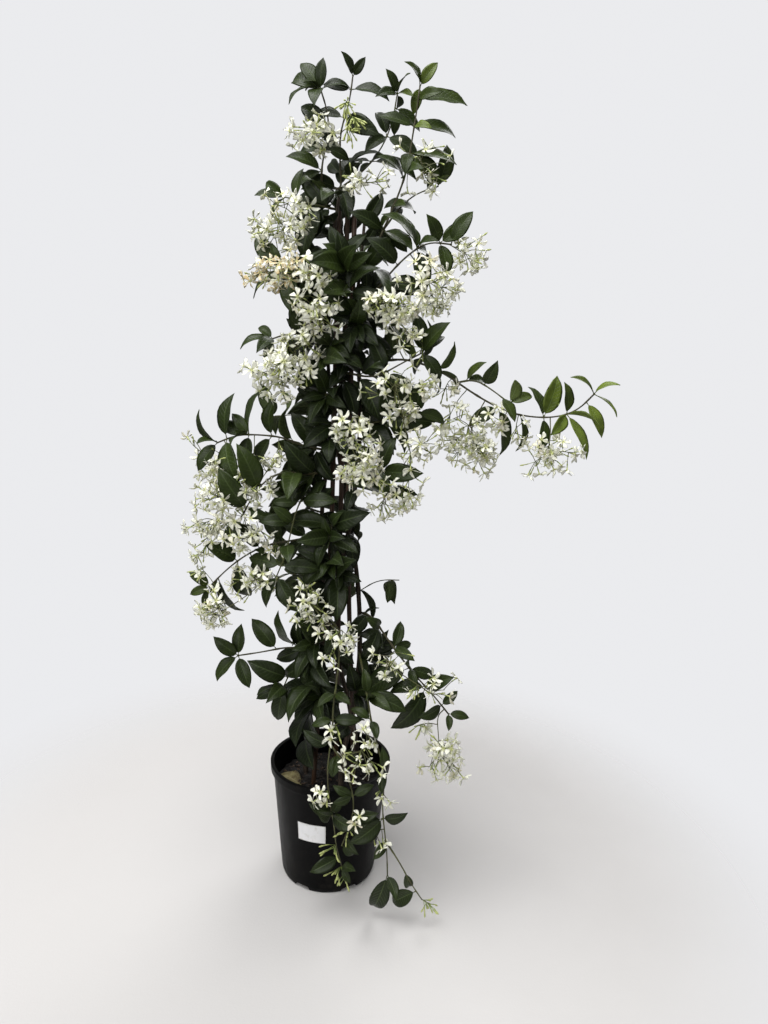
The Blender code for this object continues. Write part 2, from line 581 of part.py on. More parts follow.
def aimed_leaf(draw, base, aim, width_share, rings):
    """A leaf from its foot on a stem towards a place that its middle passes."""
    reach = (aim - base).length
    length = min(LONGEST_LEAF * LEAF_LENGTH, max(SHORTEST_LEAF * LEAF_LENGTH, 2.0 * reach))
    low, high = TOP_LIGHT_HEIGHTS
    light = FRONT_LIGHT if base.y < MIDDLE.y else BACK_LIGHT
    light = light.lerp(TOP_LIGHT, min(1.0, max(0.0, (base.z - low) / (high - low))))
    face = light + outward(base) * LEAF_TURN_OUT + any_direction(draw) * LEAF_TURN_ANY
    return {"base": base, "tip": base + (aim - base).normalized() * length, "face": face,
            "width": length * LEAF_ASPECT * width_share, "arch": draw.uniform(*LEAF_ARCH),
            "rings": rings}


def try_leaf(crowd, node, leaf, leaves):
    """Place a leaf if it crosses no other node and does not lie in another leaf's place."""
    faces = LEAF_TEMPLATES[leaf["rings"]][0]
    chord = leaf["tip"] - leaf["base"]
    if chord.normalized().cross(leaf["face"].normalized()).length < 0.2:
        return False
    blade = BVHTree.FromPolygons(blade_places(leaf), faces)
    if any(blade.overlap(other["tree"]) for other in leaves):
        return False
    if not crowd.is_clear(node, leaf_places(leaf, CLEARANCE), faces):
        return False
    crowd.add(node, leaf_places(leaf), faces)
    leaf["tree"] = blade
    leaves.append(leaf)
    return True


def leaf_joints(stem):
    """The places on a stem that leaves grow from: the middle of each run, and just inside its end."""
    points = stem["points"]
    middles = [(a + b) / 2 for a, b in zip(points, points[1:])]
    return middles + [points[-1] + (points[-2] - points[-1]).normalized() * SINK]


def add_seen_leaves(crowd, shoot):
    """The leaves whose places are given, each from the nearest joint of the shoot."""
    node = shoot["name"]
    joints = [p for stem in shoot["stems"] for p in leaf_joints(stem)]
    ends = [leaf_joints(stem)[-1] for stem in shoot["stems"]]
    for number, (x, z) in enumerate(shoot["places"]):
        draw = random.Random(f"{node} leaf {number}")
        base = min(joints, key=lambda point: (at_depth(x, z, point.y / CM) - point).length)
        width_share = YOUNG_WIDTH if x > YOUNG_FROM else 1.0
        for attempt in range(16):
            depth = base.y / CM + draw.uniform(-1.5, 1.0) * (1 + 0.12 * attempt)
            aim = at_depth(x, z, depth) + any_direction(draw) * (0.0015 * attempt)
            leaf = aimed_leaf(draw, base, aim, width_share, 3 if number % 5 == 0 else 2)
            if base in ends or attempt > 8:
                leaf["tip"] = leaf["base"].lerp(leaf["tip"], TIP_LEAF)
                leaf["width"] *= TIP_LEAF
            if try_leaf(crowd, node, leaf, shoot["leaves"]):
                break


def add_more_leaves(crowd, shoot):
    """More leaves in opposite pairs, each pair a quarter turn from the last."""
    node = shoot["name"]
    draw = random.Random(f"{node} more")
    wanted = shoot["more"]
    for stem in shoot["stems"]:
        points = [stem["points"][0]] + leaf_joints(stem)
        for joint in range(1, len(points)):
            along = (points[joint] - points[joint - 1]).normalized()
            side = along.cross(Vector((0.1, 0.2, 1))).normalized()
            for half in (0, 1):
                if wanted <= 0:
                    return
                for attempt in range(10):
                    turn = math.radians(90 * joint + 180 * half + draw.uniform(-20, 20) * (1 + attempt / 2))
                    away = Matrix.Rotation(turn, 3, along) @ side
                    away += outward(points[joint]) * 0.5 + along * draw.uniform(0.1, 0.7)
                    away.z -= draw.uniform(0.0, 0.35)
                    aim = points[joint] + away.normalized() * LEAF_LENGTH * draw.uniform(*MORE_LEAF_REACH)
                    leaf = aimed_leaf(draw, points[joint], aim, 1.0, 2)
                    if try_leaf(crowd, node, leaf, shoot["leaves"]):
                        wanted -= 1
                        break


def plan_plant():
    """Every stem, leaf and flower, each laid clear of the others."""
    crowd = Crowd()
    fixed = {}
    for index, name in enumerate(CANE_NAMES):
        points = cane_points(index)
        fixed[name] = meshed(curve_tube(name, points, [CANE_RADIUS] * len(points), CANE_SIDES))
    for index, name in enumerate(STEM_NAMES):
        points = stem_points(index)
        fixed[name] = meshed(curve_tube(name, points, stem_radii(len(points)), STEM_SIDES))
    for name, mesh in fixed.items():
        crowd.add_mesh(name, mesh)
    woody = [tree_of(fixed[name]) for name in STEM_NAMES]
    shoots = []
    for name, radius, paths, places, more in SHOOTS:
        shoot = {"name": name, "stems": [], "leaves": [], "places": places, "more": more}
        for number, path in enumerate(paths):
            corner_points = [at_depth(*place) for place in path]
            if number:
                main = leaf_joints(shoot["stems"][0])
                corner_points[0] = min(main, key=lambda p: (p - corner_points[0]).length)
            thickness = radius * MM * (SIDE_SHOOT if number else 1.0)
            hosts = () if number else woody
            stem = lay_stem(crowd, name, corner_points, thickness, SHOOT_STEP, SHOOT_TIP, hosts)
            shoot["stems"].append(stem)
        shoots.append(shoot)
    sprays = [plan_stalks(crowd, shoots, *row) for row in SPRAYS]
    for shoot in shoots:
        add_seen_leaves(crowd, shoot)
    for spray in sprays:
        add_flowers(crowd, spray)
    for shoot in shoots:
        add_more_leaves(crowd, shoot)
    return fixed, shoots, sprays


def plan_stalks(crowd, shoots, name, bearer, bunches):
    """A spray's stalk, from its shoot through the middle of each of its bunches."""
    shoot = next(s for s in shoots if s["name"] == bearer)
    middles = [at_depth(x, z, y) for x, z, y, count in bunches]
    joints = [p for stem in shoot["stems"] for p in stem["points"][1:-1]]
    start = min(joints, key=lambda p: (p - middles[0]).length)
    lift = Vector((0, 0, 0.12 * (middles[0] - start).length))
    way = [start, start.lerp(middles[0], 0.5) + lift] + middles
    hosts = [tree_of(stem["mesh"]) for stem in shoot["stems"]]
    stalk = lay_stem(crowd, name, way, STALK_RADIUS, STALK_STEP, STALK_TIP, hosts)
    counts = [bunch[3] for bunch in bunches]
    return {"name": name, "stalk": stalk, "middles": middles, "counts": counts, "flowers": []}


def on_chain(points, distance):
    """The place at a distance along a chain of points, kept off its corners, and the direction there."""
    for a, b in zip(points, points[1:]):
        run = (b - a).length
        if distance <= run or b is points[-1]:
            share = min(1 - SINK / run, max(SINK / run, distance / run))
            return a.lerp(b, share), (b - a).normalized()
        distance -= run


def chain_distance(points, place):
    """How far along a chain of points the nearest of its corners to a place is."""
    nearest = min(range(len(points)), key=lambda i: (points[i] - place).length)
    return sum((b - a).length for a, b in zip(points[:nearest], points[1:nearest + 1]))


def add_flowers(crowd, spray):
    """Each bunch's flowers, spread along the stalk on long spikes that point all ways from it."""
    node = spray["name"]
    points = spray["stalk"]["points"]
    taken = []
    for number, (middle, count) in enumerate(zip(spray["middles"], spray["counts"])):
        draw = random.Random(f"{node} flowers {number}")
        centre = chain_distance(points, middle)
        lean = outward(middle) * 0.5 + BUNCH_LEAN
        for flower_number in range(count):
            share = flower_number / max(1, count - 1) - 0.7
            foot, along = on_chain(points, max(SINK, centre + BUNCH_SPAN * share))
            for attempt in range(24):
                axis = (any_direction(draw) + along * 0.3 + lean * 0.5).normalized()
                if abs(axis.dot(along)) > 0.85:
                    continue
                flower = {"foot": foot, "axis": axis, "spin": draw.uniform(0, math.tau),
                          "reach": draw.uniform(*FLOWER_REACH), "size": draw.uniform(0.88, 1.08),
                          "form": draw.randrange(3)}
                faces = FLOWER_TEMPLATES[flower["form"]][1]
                tree = BVHTree.FromPolygons(petal_places(flower, CLEARANCE), faces)
                if any(tree.overlap(other) for other in taken):
                    continue
                if not crowd.is_clear(node, flower_places(flower, CLEARANCE), faces):
                    continue
                taken.append(BVHTree.FromPolygons(petal_places(flower), faces))
                crowd.add(node, flower_places(flower), faces)
                spray["flowers"].append(flower)
                break


def material(name, finish):
    """A Principled material of one colour and roughness."""
    colour, roughness = finish
    made = bpy.data.materials.new(name)
    made.use_nodes = True
    shader = made.node_tree.nodes["Principled BSDF"]
    shader.inputs["Base Color"].default_value = (*colour, 1.0)
    shader.inputs["Roughness"].default_value = roughness
    return made


def new_object(name, mesh, finish, collection):
    """An object of the part with its own material."""
    made = bpy.data.objects.new(name, mesh)
    mesh.materials.clear()
    mesh.materials.append(material(name, finish))
    collection.objects.link(made)
    return made


def mesh_from(name, places, faces):
    """A mesh of the given faces."""
    mesh = bpy.data.meshes.new(name)
    mesh.from_pydata([tuple(p) for p in places], [], faces)
    return mesh


def fuse(base, meshes):
    """Join meshes to an object by one Boolean union, and keep its one outer body."""
    joined = bpy.data.collections.new(base.name + "_repeats")
    bpy.context.scene.collection.children.link(joined)
    for number, mesh in enumerate(meshes):
        joined.objects.link(bpy.data.objects.new(f"{base.name}_{number}", mesh))
    union = base.modifiers.new("union", "BOOLEAN")
    union.operation = "UNION"
    union.operand_type = "COLLECTION"
    union.collection = joined
    union.solver = "MANIFOLD"
    evaluated = base.evaluated_get(bpy.context.evaluated_depsgraph_get())
    whole = bpy.data.meshes.new_from_object(evaluated)
    base.modifiers.remove(union)
    for item in list(joined.objects):
        bpy.data.objects.remove(item)
    bpy.data.collections.remove(joined)
    keep_outer_body(whole)
    old = base.data
    base.data = whole
    bpy.data.meshes.remove(old)


def keep_outer_body(mesh):
    """Drop every loose scrap and sealed hollow from a mesh."""
    shape = bmesh.new()
    shape.from_mesh(mesh)
    bodies = []
    seen = set()
    for face in shape.faces:
        if face in seen:
            continue
        body = [face]
        seen.add(face)
        for member in body:
            neighbours = (f for e in member.edges if len(e.link_faces) == 2 for f in e.link_faces)
            for other in neighbours:
                if other not in seen:
                    seen.add(other)
                    body.append(other)
        bodies.append(body)
    bodies.sort(key=len)
    for body in bodies[:-1]:
        bmesh.ops.delete(shape, geom=body, context="FACES")
    loose = [v for v in shape.verts if not v.link_faces]
    bmesh.ops.delete(shape, geom=loose, context="VERTS")
    shape.to_mesh(mesh)
    shape.free()


def cutter(name, mesh, collection):
    """An object that only cuts."""
    made = bpy.data.objects.new(name, mesh)
    made.hide_render = True
    made.display_type = "WIRE"
    collection.objects.link(made)
    return made


def cut(target, tool):
    """Cut one object with another."""
    step = target.modifiers.new("cut_" + tool.name, "BOOLEAN")
    step.operation = "DIFFERENCE"
    step.object = tool
    step.solver = "MANIFOLD"


def turned(name, profile, steps):
    """A profile in the XZ plane, top to bottom down its outer side, turned round Z by a Screw."""
    shape = bmesh.new()
    corner_verts = [shape.verts.new((x, 0, z)) for x, z in profile]
    for a, b in zip(corner_verts, corner_verts[1:]):
        shape.edges.new((a, b))
    mesh = bpy.data.meshes.new(name)
    shape.to_mesh(mesh)
    shape.free()
    made = bpy.data.objects.new(name, mesh)
    screw = made.modifiers.new("turn", "SCREW")
    screw.steps = steps
    screw.render_steps = steps
    screw.use_merge_vertices = True
    screw.merge_threshold = 0.0001
    return made


def wall_radius(z):
    """The pot's outer radius at a height."""
    return POT_BASE_RADIUS + (POT_RIM_RADIUS - LIP_DEPTH - POT_BASE_RADIUS) * z / POT_HEIGHT


def make_pot(collection, cutters):
    """The pot: a tapered shell with a rolled lip, and drain slots that leave lobed feet."""
    lip_top = POT_HEIGHT - LIP_HEIGHT
    foot_inset, foot_height = POT_FOOT_BEVEL
    profile = [(0, POT_FLOOR), (wall_radius(POT_FLOOR) - POT_WALL, POT_FLOOR),
               (wall_radius(POT_HEIGHT) - POT_WALL, POT_HEIGHT - POT_EDGE),
               (wall_radius(POT_HEIGHT) - POT_WALL + POT_EDGE, POT_HEIGHT),
               (POT_RIM_RADIUS - POT_EDGE, POT_HEIGHT), (POT_RIM_RADIUS, POT_HEIGHT - POT_EDGE),
               (POT_RIM_RADIUS - POT_EDGE / 2, lip_top), (wall_radius(lip_top), lip_top - POT_EDGE),
               (wall_radius(foot_height), foot_height), (POT_BASE_RADIUS - foot_inset, 0), (0, 0)]
    pot = turned("pot", profile, POT_SIDES)
    pot.data.materials.append(material("pot", BLACK_PLASTIC))
    collection.objects.link(pot)
    for i in range(DRAIN_SLOTS):
        turn = math.tau * (i + 0.5) / DRAIN_SLOTS - math.pi / 2
        shape = bmesh.new()
        bmesh.ops.create_cone(shape, cap_ends=True, segments=8, radius1=0.5, radius2=0.5, depth=1)
        bmesh.ops.rotate(shape, verts=shape.verts, matrix=Matrix.Rotation(math.pi / 8, 3, "Z"))
        bmesh.ops.rotate(shape, verts=shape.verts, matrix=Matrix.Rotation(math.pi / 2, 3, "Y"))
        bmesh.ops.scale(shape, verts=shape.verts, vec=(DRAIN_DEPTH, DRAIN_WIDTH, 2 * DRAIN_HEIGHT))
        bmesh.ops.translate(shape, verts=shape.verts, vec=(POT_BASE_RADIUS - DRAIN_INSET, 0, 0))
        bmesh.ops.rotate(shape, verts=shape.verts, matrix=Matrix.Rotation(turn, 3, "Z"))
        mesh = bpy.data.meshes.new(f"drain_slot_{i}")
        shape.to_mesh(mesh)
        shape.free()
        cut(pot, cutter(mesh.name, mesh, cutters))


def soil_level(x, y):
    """The soil's height: a low mound with soft ripples."""
    reach = math.hypot(x, y) / POT_RIM_RADIUS
    ripple = math.sin(x * 190 + 1) * math.cos(y * 230) + 0.6 * math.sin((x + y) * 310)
    return SOIL_HEIGHT + SOIL_MOUND * (1 - reach) + SOIL_RIPPLE * ripple * min(1.0, 2.2 - 2 * reach)


def make_soil(collection, cutters):
    """The potting mix: it fills the pot, with plain holes for the canes and stems."""
    bottom = POT_FLOOR + GAP
    shape = bmesh.new()
    bmesh.ops.create_cone(shape, cap_ends=True, segments=SOIL_SIDES, radius1=1.0, radius2=1.0, depth=1.0)
    top = [f for f in shape.faces if f.normal.z > 0.5]
    for i in range(SOIL_RINGS - 1):
        bmesh.ops.inset_individual(shape, faces=top, thickness=1.0 / SOIL_RINGS)
        top = [f for f in top if f.is_valid]
    bmesh.ops.poke(shape, faces=top)
    for v in shape.verts:
        reach = math.hypot(v.co.x, v.co.y)
        if v.co.z < 0:
            outer = wall_radius(bottom) - POT_WALL - SOIL_EDGE_GAP
            v.co = (v.co.x * outer, v.co.y * outer, bottom)
        else:
            outer = wall_radius(SOIL_HEIGHT) - POT_WALL - SOIL_EDGE_GAP
            x = v.co.x * outer
            y = v.co.y * outer
            v.co = (x, y, soil_level(x, y))
    bmesh.ops.triangulate(shape, faces=shape.faces)
    mesh = bpy.data.meshes.new("soil")
    shape.to_mesh(mesh)
    shape.free()
    soil = new_object("soil", mesh, POTTING_MIX, collection)
    for index, name in enumerate(CANE_NAMES):
        points = cane_points(index, CANE_SPREAD[0][0] - GAP)[:3]
        hole = meshed(curve_tube(name + "_hole", points, [CANE_RADIUS + HOLE_GAP] * 3, CANE_SIDES))
        cut(soil, cutter(hole.name, hole, cutters))
    for index, name in enumerate(STEM_NAMES):
        points = stem_points(index)[:4]
        radii = [r + HOLE_GAP for r in stem_radii(len(stem_points(index)))[:4]]
        points[0] = points[0] - Vector((0, 0, GAP))
        hole = meshed(curve_tube(name + "_hole", points, radii, STEM_SIDES))
        cut(soil, cutter(hole.name, hole, cutters))


def cane_reach(z):
    """How far the canes' own middles stand from the middle line at a height."""
    reach = 0.0
    for index in range(len(CANE_NAMES)):
        table = [(p.z, math.hypot(p.x - MIDDLE.x, p.y - MIDDLE.y)) for p in cane_points(index)]
        reach = max(reach, blend(table, z))
    return reach


def make_ties(collection):
    """Two black bands round the canes."""
    for name, z in TIE_HEIGHTS:
        reach = max(cane_reach(z - TIE_WIDTH / 2), cane_reach(z + TIE_WIDTH / 2))
        inner = (reach + CANE_RADIUS + GAP) / math.cos(math.pi / TIE_SIDES)
        outer = inner + TIE_THICKNESS
        low = -TIE_WIDTH / 2
        high = TIE_WIDTH / 2
        profile = [(inner, high), (outer, high), (outer, low), (inner, low), (inner, high)]
        tie = turned(name, profile, TIE_SIDES)
        tie.data.materials.append(material(name, BLACK_PLASTIC))
        weld = tie.modifiers.new("close", "WELD")
        weld.merge_threshold = 0.0001
        tie.location = MIDDLE + Vector((0, 0, z))
        collection.objects.link(tie)


def make_label(collection):
    """A blank label that follows the pot's wall."""
    shape = bmesh.new()
    bmesh.ops.create_grid(shape, x_segments=LABEL_STEPS, y_segments=1, size=0.5)
    for v in shape.verts:
        turn = math.tau * (LABEL_FIRST_STEP + (v.co.x + 0.5) * LABEL_STEPS) / POT_SIDES
        z = LABEL_MIDDLE + v.co.y * LABEL_HEIGHT
        radius = wall_radius(z) + GAP
        v.co = (radius * math.cos(turn), radius * math.sin(turn), z)
    mesh = bpy.data.meshes.new("label")
    shape.to_mesh(mesh)
    shape.free()
    label = new_object("label", mesh, PAPER, collection)
    solid = label.modifiers.new("thickness", "SOLIDIFY")
    solid.thickness = LABEL_THICKNESS
    solid.offset = 1.0


def make_clip(collection, middle):
    """A small teal clip round the left stem."""
    low = -CLIP_HEIGHT / 2
    high = CLIP_HEIGHT / 2
    profile = [(CLIP_INNER, high), (CLIP_OUTER, high), (CLIP_OUTER, low), (CLIP_INNER, low),
               (CLIP_INNER, high)]
    clip = turned("clip", profile, CLIP_SIDES)
    clip.data.materials.append(material("clip", TEAL_PLASTIC))
    weld = clip.modifiers.new("close", "WELD")
    weld.merge_threshold = 0.0001
    clip.location = middle
    collection.objects.link(clip)


def make_fallen_leaf(collection):
    """A dry leaf that lies on the soil at the left."""
    level = Vector((0, 0, SOIL_HEIGHT))
    leaf = {"base": level + Vector(DRY_FOOT), "tip": level + Vector(DRY_TIP), "face": Vector((0, 0, 1)),
            "width": DRY_WIDTH, "arch": LEAF_ARCH[0], "rings": 3}
    mesh = mesh_from("fallen_leaf", leaf_places(leaf), LEAF_TEMPLATES[3][0])
    new_object("fallen_leaf", mesh, DRY_LEAF, collection)


def main():
    for item in list(bpy.data.objects):
        bpy.data.objects.remove(item)
    collection = bpy.data.collections.new("potted_star_jasmine")
    cutters = bpy.data.collections.new("cutters")
    bpy.context.scene.collection.children.link(collection)
    bpy.context.scene.collection.children.link(cutters)
    fixed, shoots, sprays = plan_plant()
    make_pot(collection, cutters)
    make_soil(collection, cutters)
    for name in CANE_NAMES:
        new_object(name, fixed[name], BAMBOO, collection)
    for name in STEM_NAMES:
        new_object(name, fixed[name], BARK, collection)
    make_ties(collection)
    make_label(collection)
    make_clip(collection, stem_points(0)[4])
    make_fallen_leaf(collection)
    for shoot in shoots:
        first, *others = shoot["stems"]
        made = new_object(shoot["name"], first["mesh"], LEAF_GREEN, collection)
        meshes = [stem["mesh"] for stem in others]
        for leaf in shoot["leaves"]:
            faces = LEAF_TEMPLATES[leaf["rings"]][0]
            meshes.append(mesh_from(shoot["name"] + "_leaf", leaf_places(leaf), faces))
        fuse(made, meshes)
    for spray in sprays:
        made = new_object(spray["name"], spray["stalk"]["mesh"], PETAL_WHITE, collection)
        meshes = []
        for flower in spray["flowers"]:
            faces = FLOWER_TEMPLATES[flower["form"]][1]
            meshes.append(mesh_from(spray["name"] + "_flower", flower_places(flower), faces))
        fuse(made, meshes)
    print("leaves", sum(len(s["leaves"]) for s in shoots), "flowers", sum(len(s["flowers"]) for s in sprays))


main()
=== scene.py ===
import math
import random

import bmesh
import bpy
from mathutils import Matrix, Vector, noise
from mathutils.bvhtree import BVHTree


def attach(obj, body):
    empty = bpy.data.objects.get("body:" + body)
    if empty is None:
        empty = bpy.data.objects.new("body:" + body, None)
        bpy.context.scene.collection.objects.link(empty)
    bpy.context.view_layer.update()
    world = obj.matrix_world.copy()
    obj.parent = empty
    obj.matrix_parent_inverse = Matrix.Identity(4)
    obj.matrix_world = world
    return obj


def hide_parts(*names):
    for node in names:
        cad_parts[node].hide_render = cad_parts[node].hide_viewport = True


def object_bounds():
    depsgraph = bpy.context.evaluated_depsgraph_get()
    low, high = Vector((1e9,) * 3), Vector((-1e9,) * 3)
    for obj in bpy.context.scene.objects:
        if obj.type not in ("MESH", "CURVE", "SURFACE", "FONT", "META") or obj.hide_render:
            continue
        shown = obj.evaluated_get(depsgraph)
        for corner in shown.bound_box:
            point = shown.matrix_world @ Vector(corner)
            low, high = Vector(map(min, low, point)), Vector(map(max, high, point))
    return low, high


# The part's own dimensions, in metres, as in its source.
POT_HEIGHT = 0.178
POT_BASE_RADIUS = 0.0716
POT_RIM_RADIUS = 0.0916
POT_WALL = 0.0022
POT_FLOOR = 0.003
LIP_HEIGHT = 0.012
LIP_DEPTH = 0.0032
POT_SIDES = 36
POT_EDGE = 0.001
POT_FOOT_BEVEL = (0.0015, 0.006)
DRAIN_SLOTS = 6
DRAIN_WIDTH = 0.026
DRAIN_HEIGHT = 0.009
DRAIN_DEPTH = 0.018
DRAIN_INSET = 0.006
SOIL_HEIGHT = 0.140
SOIL_RIPPLE = 0.0025
SOIL_MOUND = 0.004
SOIL_EDGE_GAP = 0.001
GAP = 0.0003

# Label on the pot's wall
LABEL_STEPS = 3
LABEL_HEIGHT = 0.029
LABEL_MIDDLE = 0.102
LABEL_THICKNESS = 0.0006
LABEL_FIRST_STEP = -12

# Canes: a tripod drawn together round one middle line
MIDDLE = Vector((0.006, 0.004, 0.0))
CANE_RADIUS = 0.0038
CANE_NAMES = ("cane_left", "cane_right", "cane_back")
CANE_ANGLES = (210.0, 330.0, 90.0)
CANE_SPREAD = ((0.040, 0.041), (0.280, 0.028), (0.530, 0.0145), (0.795, 0.0130), (0.985, 0.0122))
CANE_STEP = 0.13
CANE_SIDES = 6
TIE_HEIGHTS = (("tie_lower", 0.530), ("tie_upper", 0.795))
TIE_WIDTH = 0.006
TIE_THICKNESS = 0.0012
TIE_SIDES = 14

# Woody stems that twine up outside the canes
STEM_NAMES = ("stem_left", "stem_right", "stem_back")
STEM_ANGLES = (165.0, 285.0, 45.0)
STEM_TOPS = (1.02, 1.00, 0.97)
STEM_FOOT = 0.06
STEM_BASE_RADIUS = 0.0045
STEM_TOP_RADIUS = 0.0022
STEM_OFFSET = 0.0125
STEM_RISE_A_TURN = 0.90
STEM_STEP = 0.066
STEM_SWAY = 0.0012
STEM_SIDES = 6
STRAIGHT_FOOT = 0.2

# Clip on the left stem, and the dry leaf on the soil
CLIP_INNER = 0.0054
CLIP_OUTER = 0.0068
CLIP_HEIGHT = 0.008
DRY_FOOT = (-0.042, -0.022, 0.0023)
DRY_TIP = (-0.079, 0.006, 0.0035)
DRY_WIDTH = 0.028

# Shoots, leaves and flowers
CM = 0.01
MM = 0.001
EYE = Vector((0.066, -1.087, 0.800))
SHOOT_STEP = 0.034
SHOOT_SIDES = 4
SIDE_SHOOT = 0.8
SHOOT_TIP = 0.55
LEAF_LENGTH = 0.062
LEAF_ASPECT = 0.44
LEAF_KEEL = 0.0013
LEAF_FOOT = 0.12
LEAF_ARCH = (0.07, 0.19)
FRONT_LIGHT = Vector((0, -0.6, 0.5))
BACK_LIGHT = Vector((0, 0.4, 0.5))
TOP_LIGHT = Vector((-0.1, -0.9, 0.6))
TOP_LIGHT_HEIGHTS = (0.72, 1.0)
LEAF_TURN_OUT = 0.4
LEAF_TURN_ANY = 0.5
TIP_LEAF = 0.8
SHORTEST_LEAF = 0.5
LONGEST_LEAF = 1.25
MORE_LEAF_REACH = (0.42, 0.6)
YOUNG_FROM = 33
YOUNG_WIDTH = 0.72
FLOWER_RADIUS = 0.0118
FLOWER_THROAT = 0.0023
PETALS = 5
PETAL_LEAN = 0.64
FLOWER_RISE = 0.0016
FLOWER_REACH = (0.015, 0.028)
BUNCH_SPAN = 0.024
BUNCH_LEAN = Vector((0, -0.2, -0.3))
STALK_RADIUS = 0.0010
STALK_STEP = 0.026
STALK_TIP = 0.7
SINK = 0.0015
CLEARANCE = 0.0004
FLOOR_CLEARANCE = 0.002
RIM_CLEARANCE = 0.002
WALL_CLEARANCE = 0.003
SOIL_CLEARANCE = 0.008
CURVE_RUNS = 24
WELD = 1e-6
SEAT_TRIES = 12
SEAT_STEP = 0.00012
STEM_TRIES = 40
LEAF_TRIES = 16
SMALLER_AFTER = 8
PAIR_TRIES = 10
FLOWER_TRIES = 24
SWAY_STEP = 0.0015
EDGE_ON = 0.2
ALONG_STALK = 0.85
PETAL_CUPS = (-0.0014, 0.001, 0.0036)

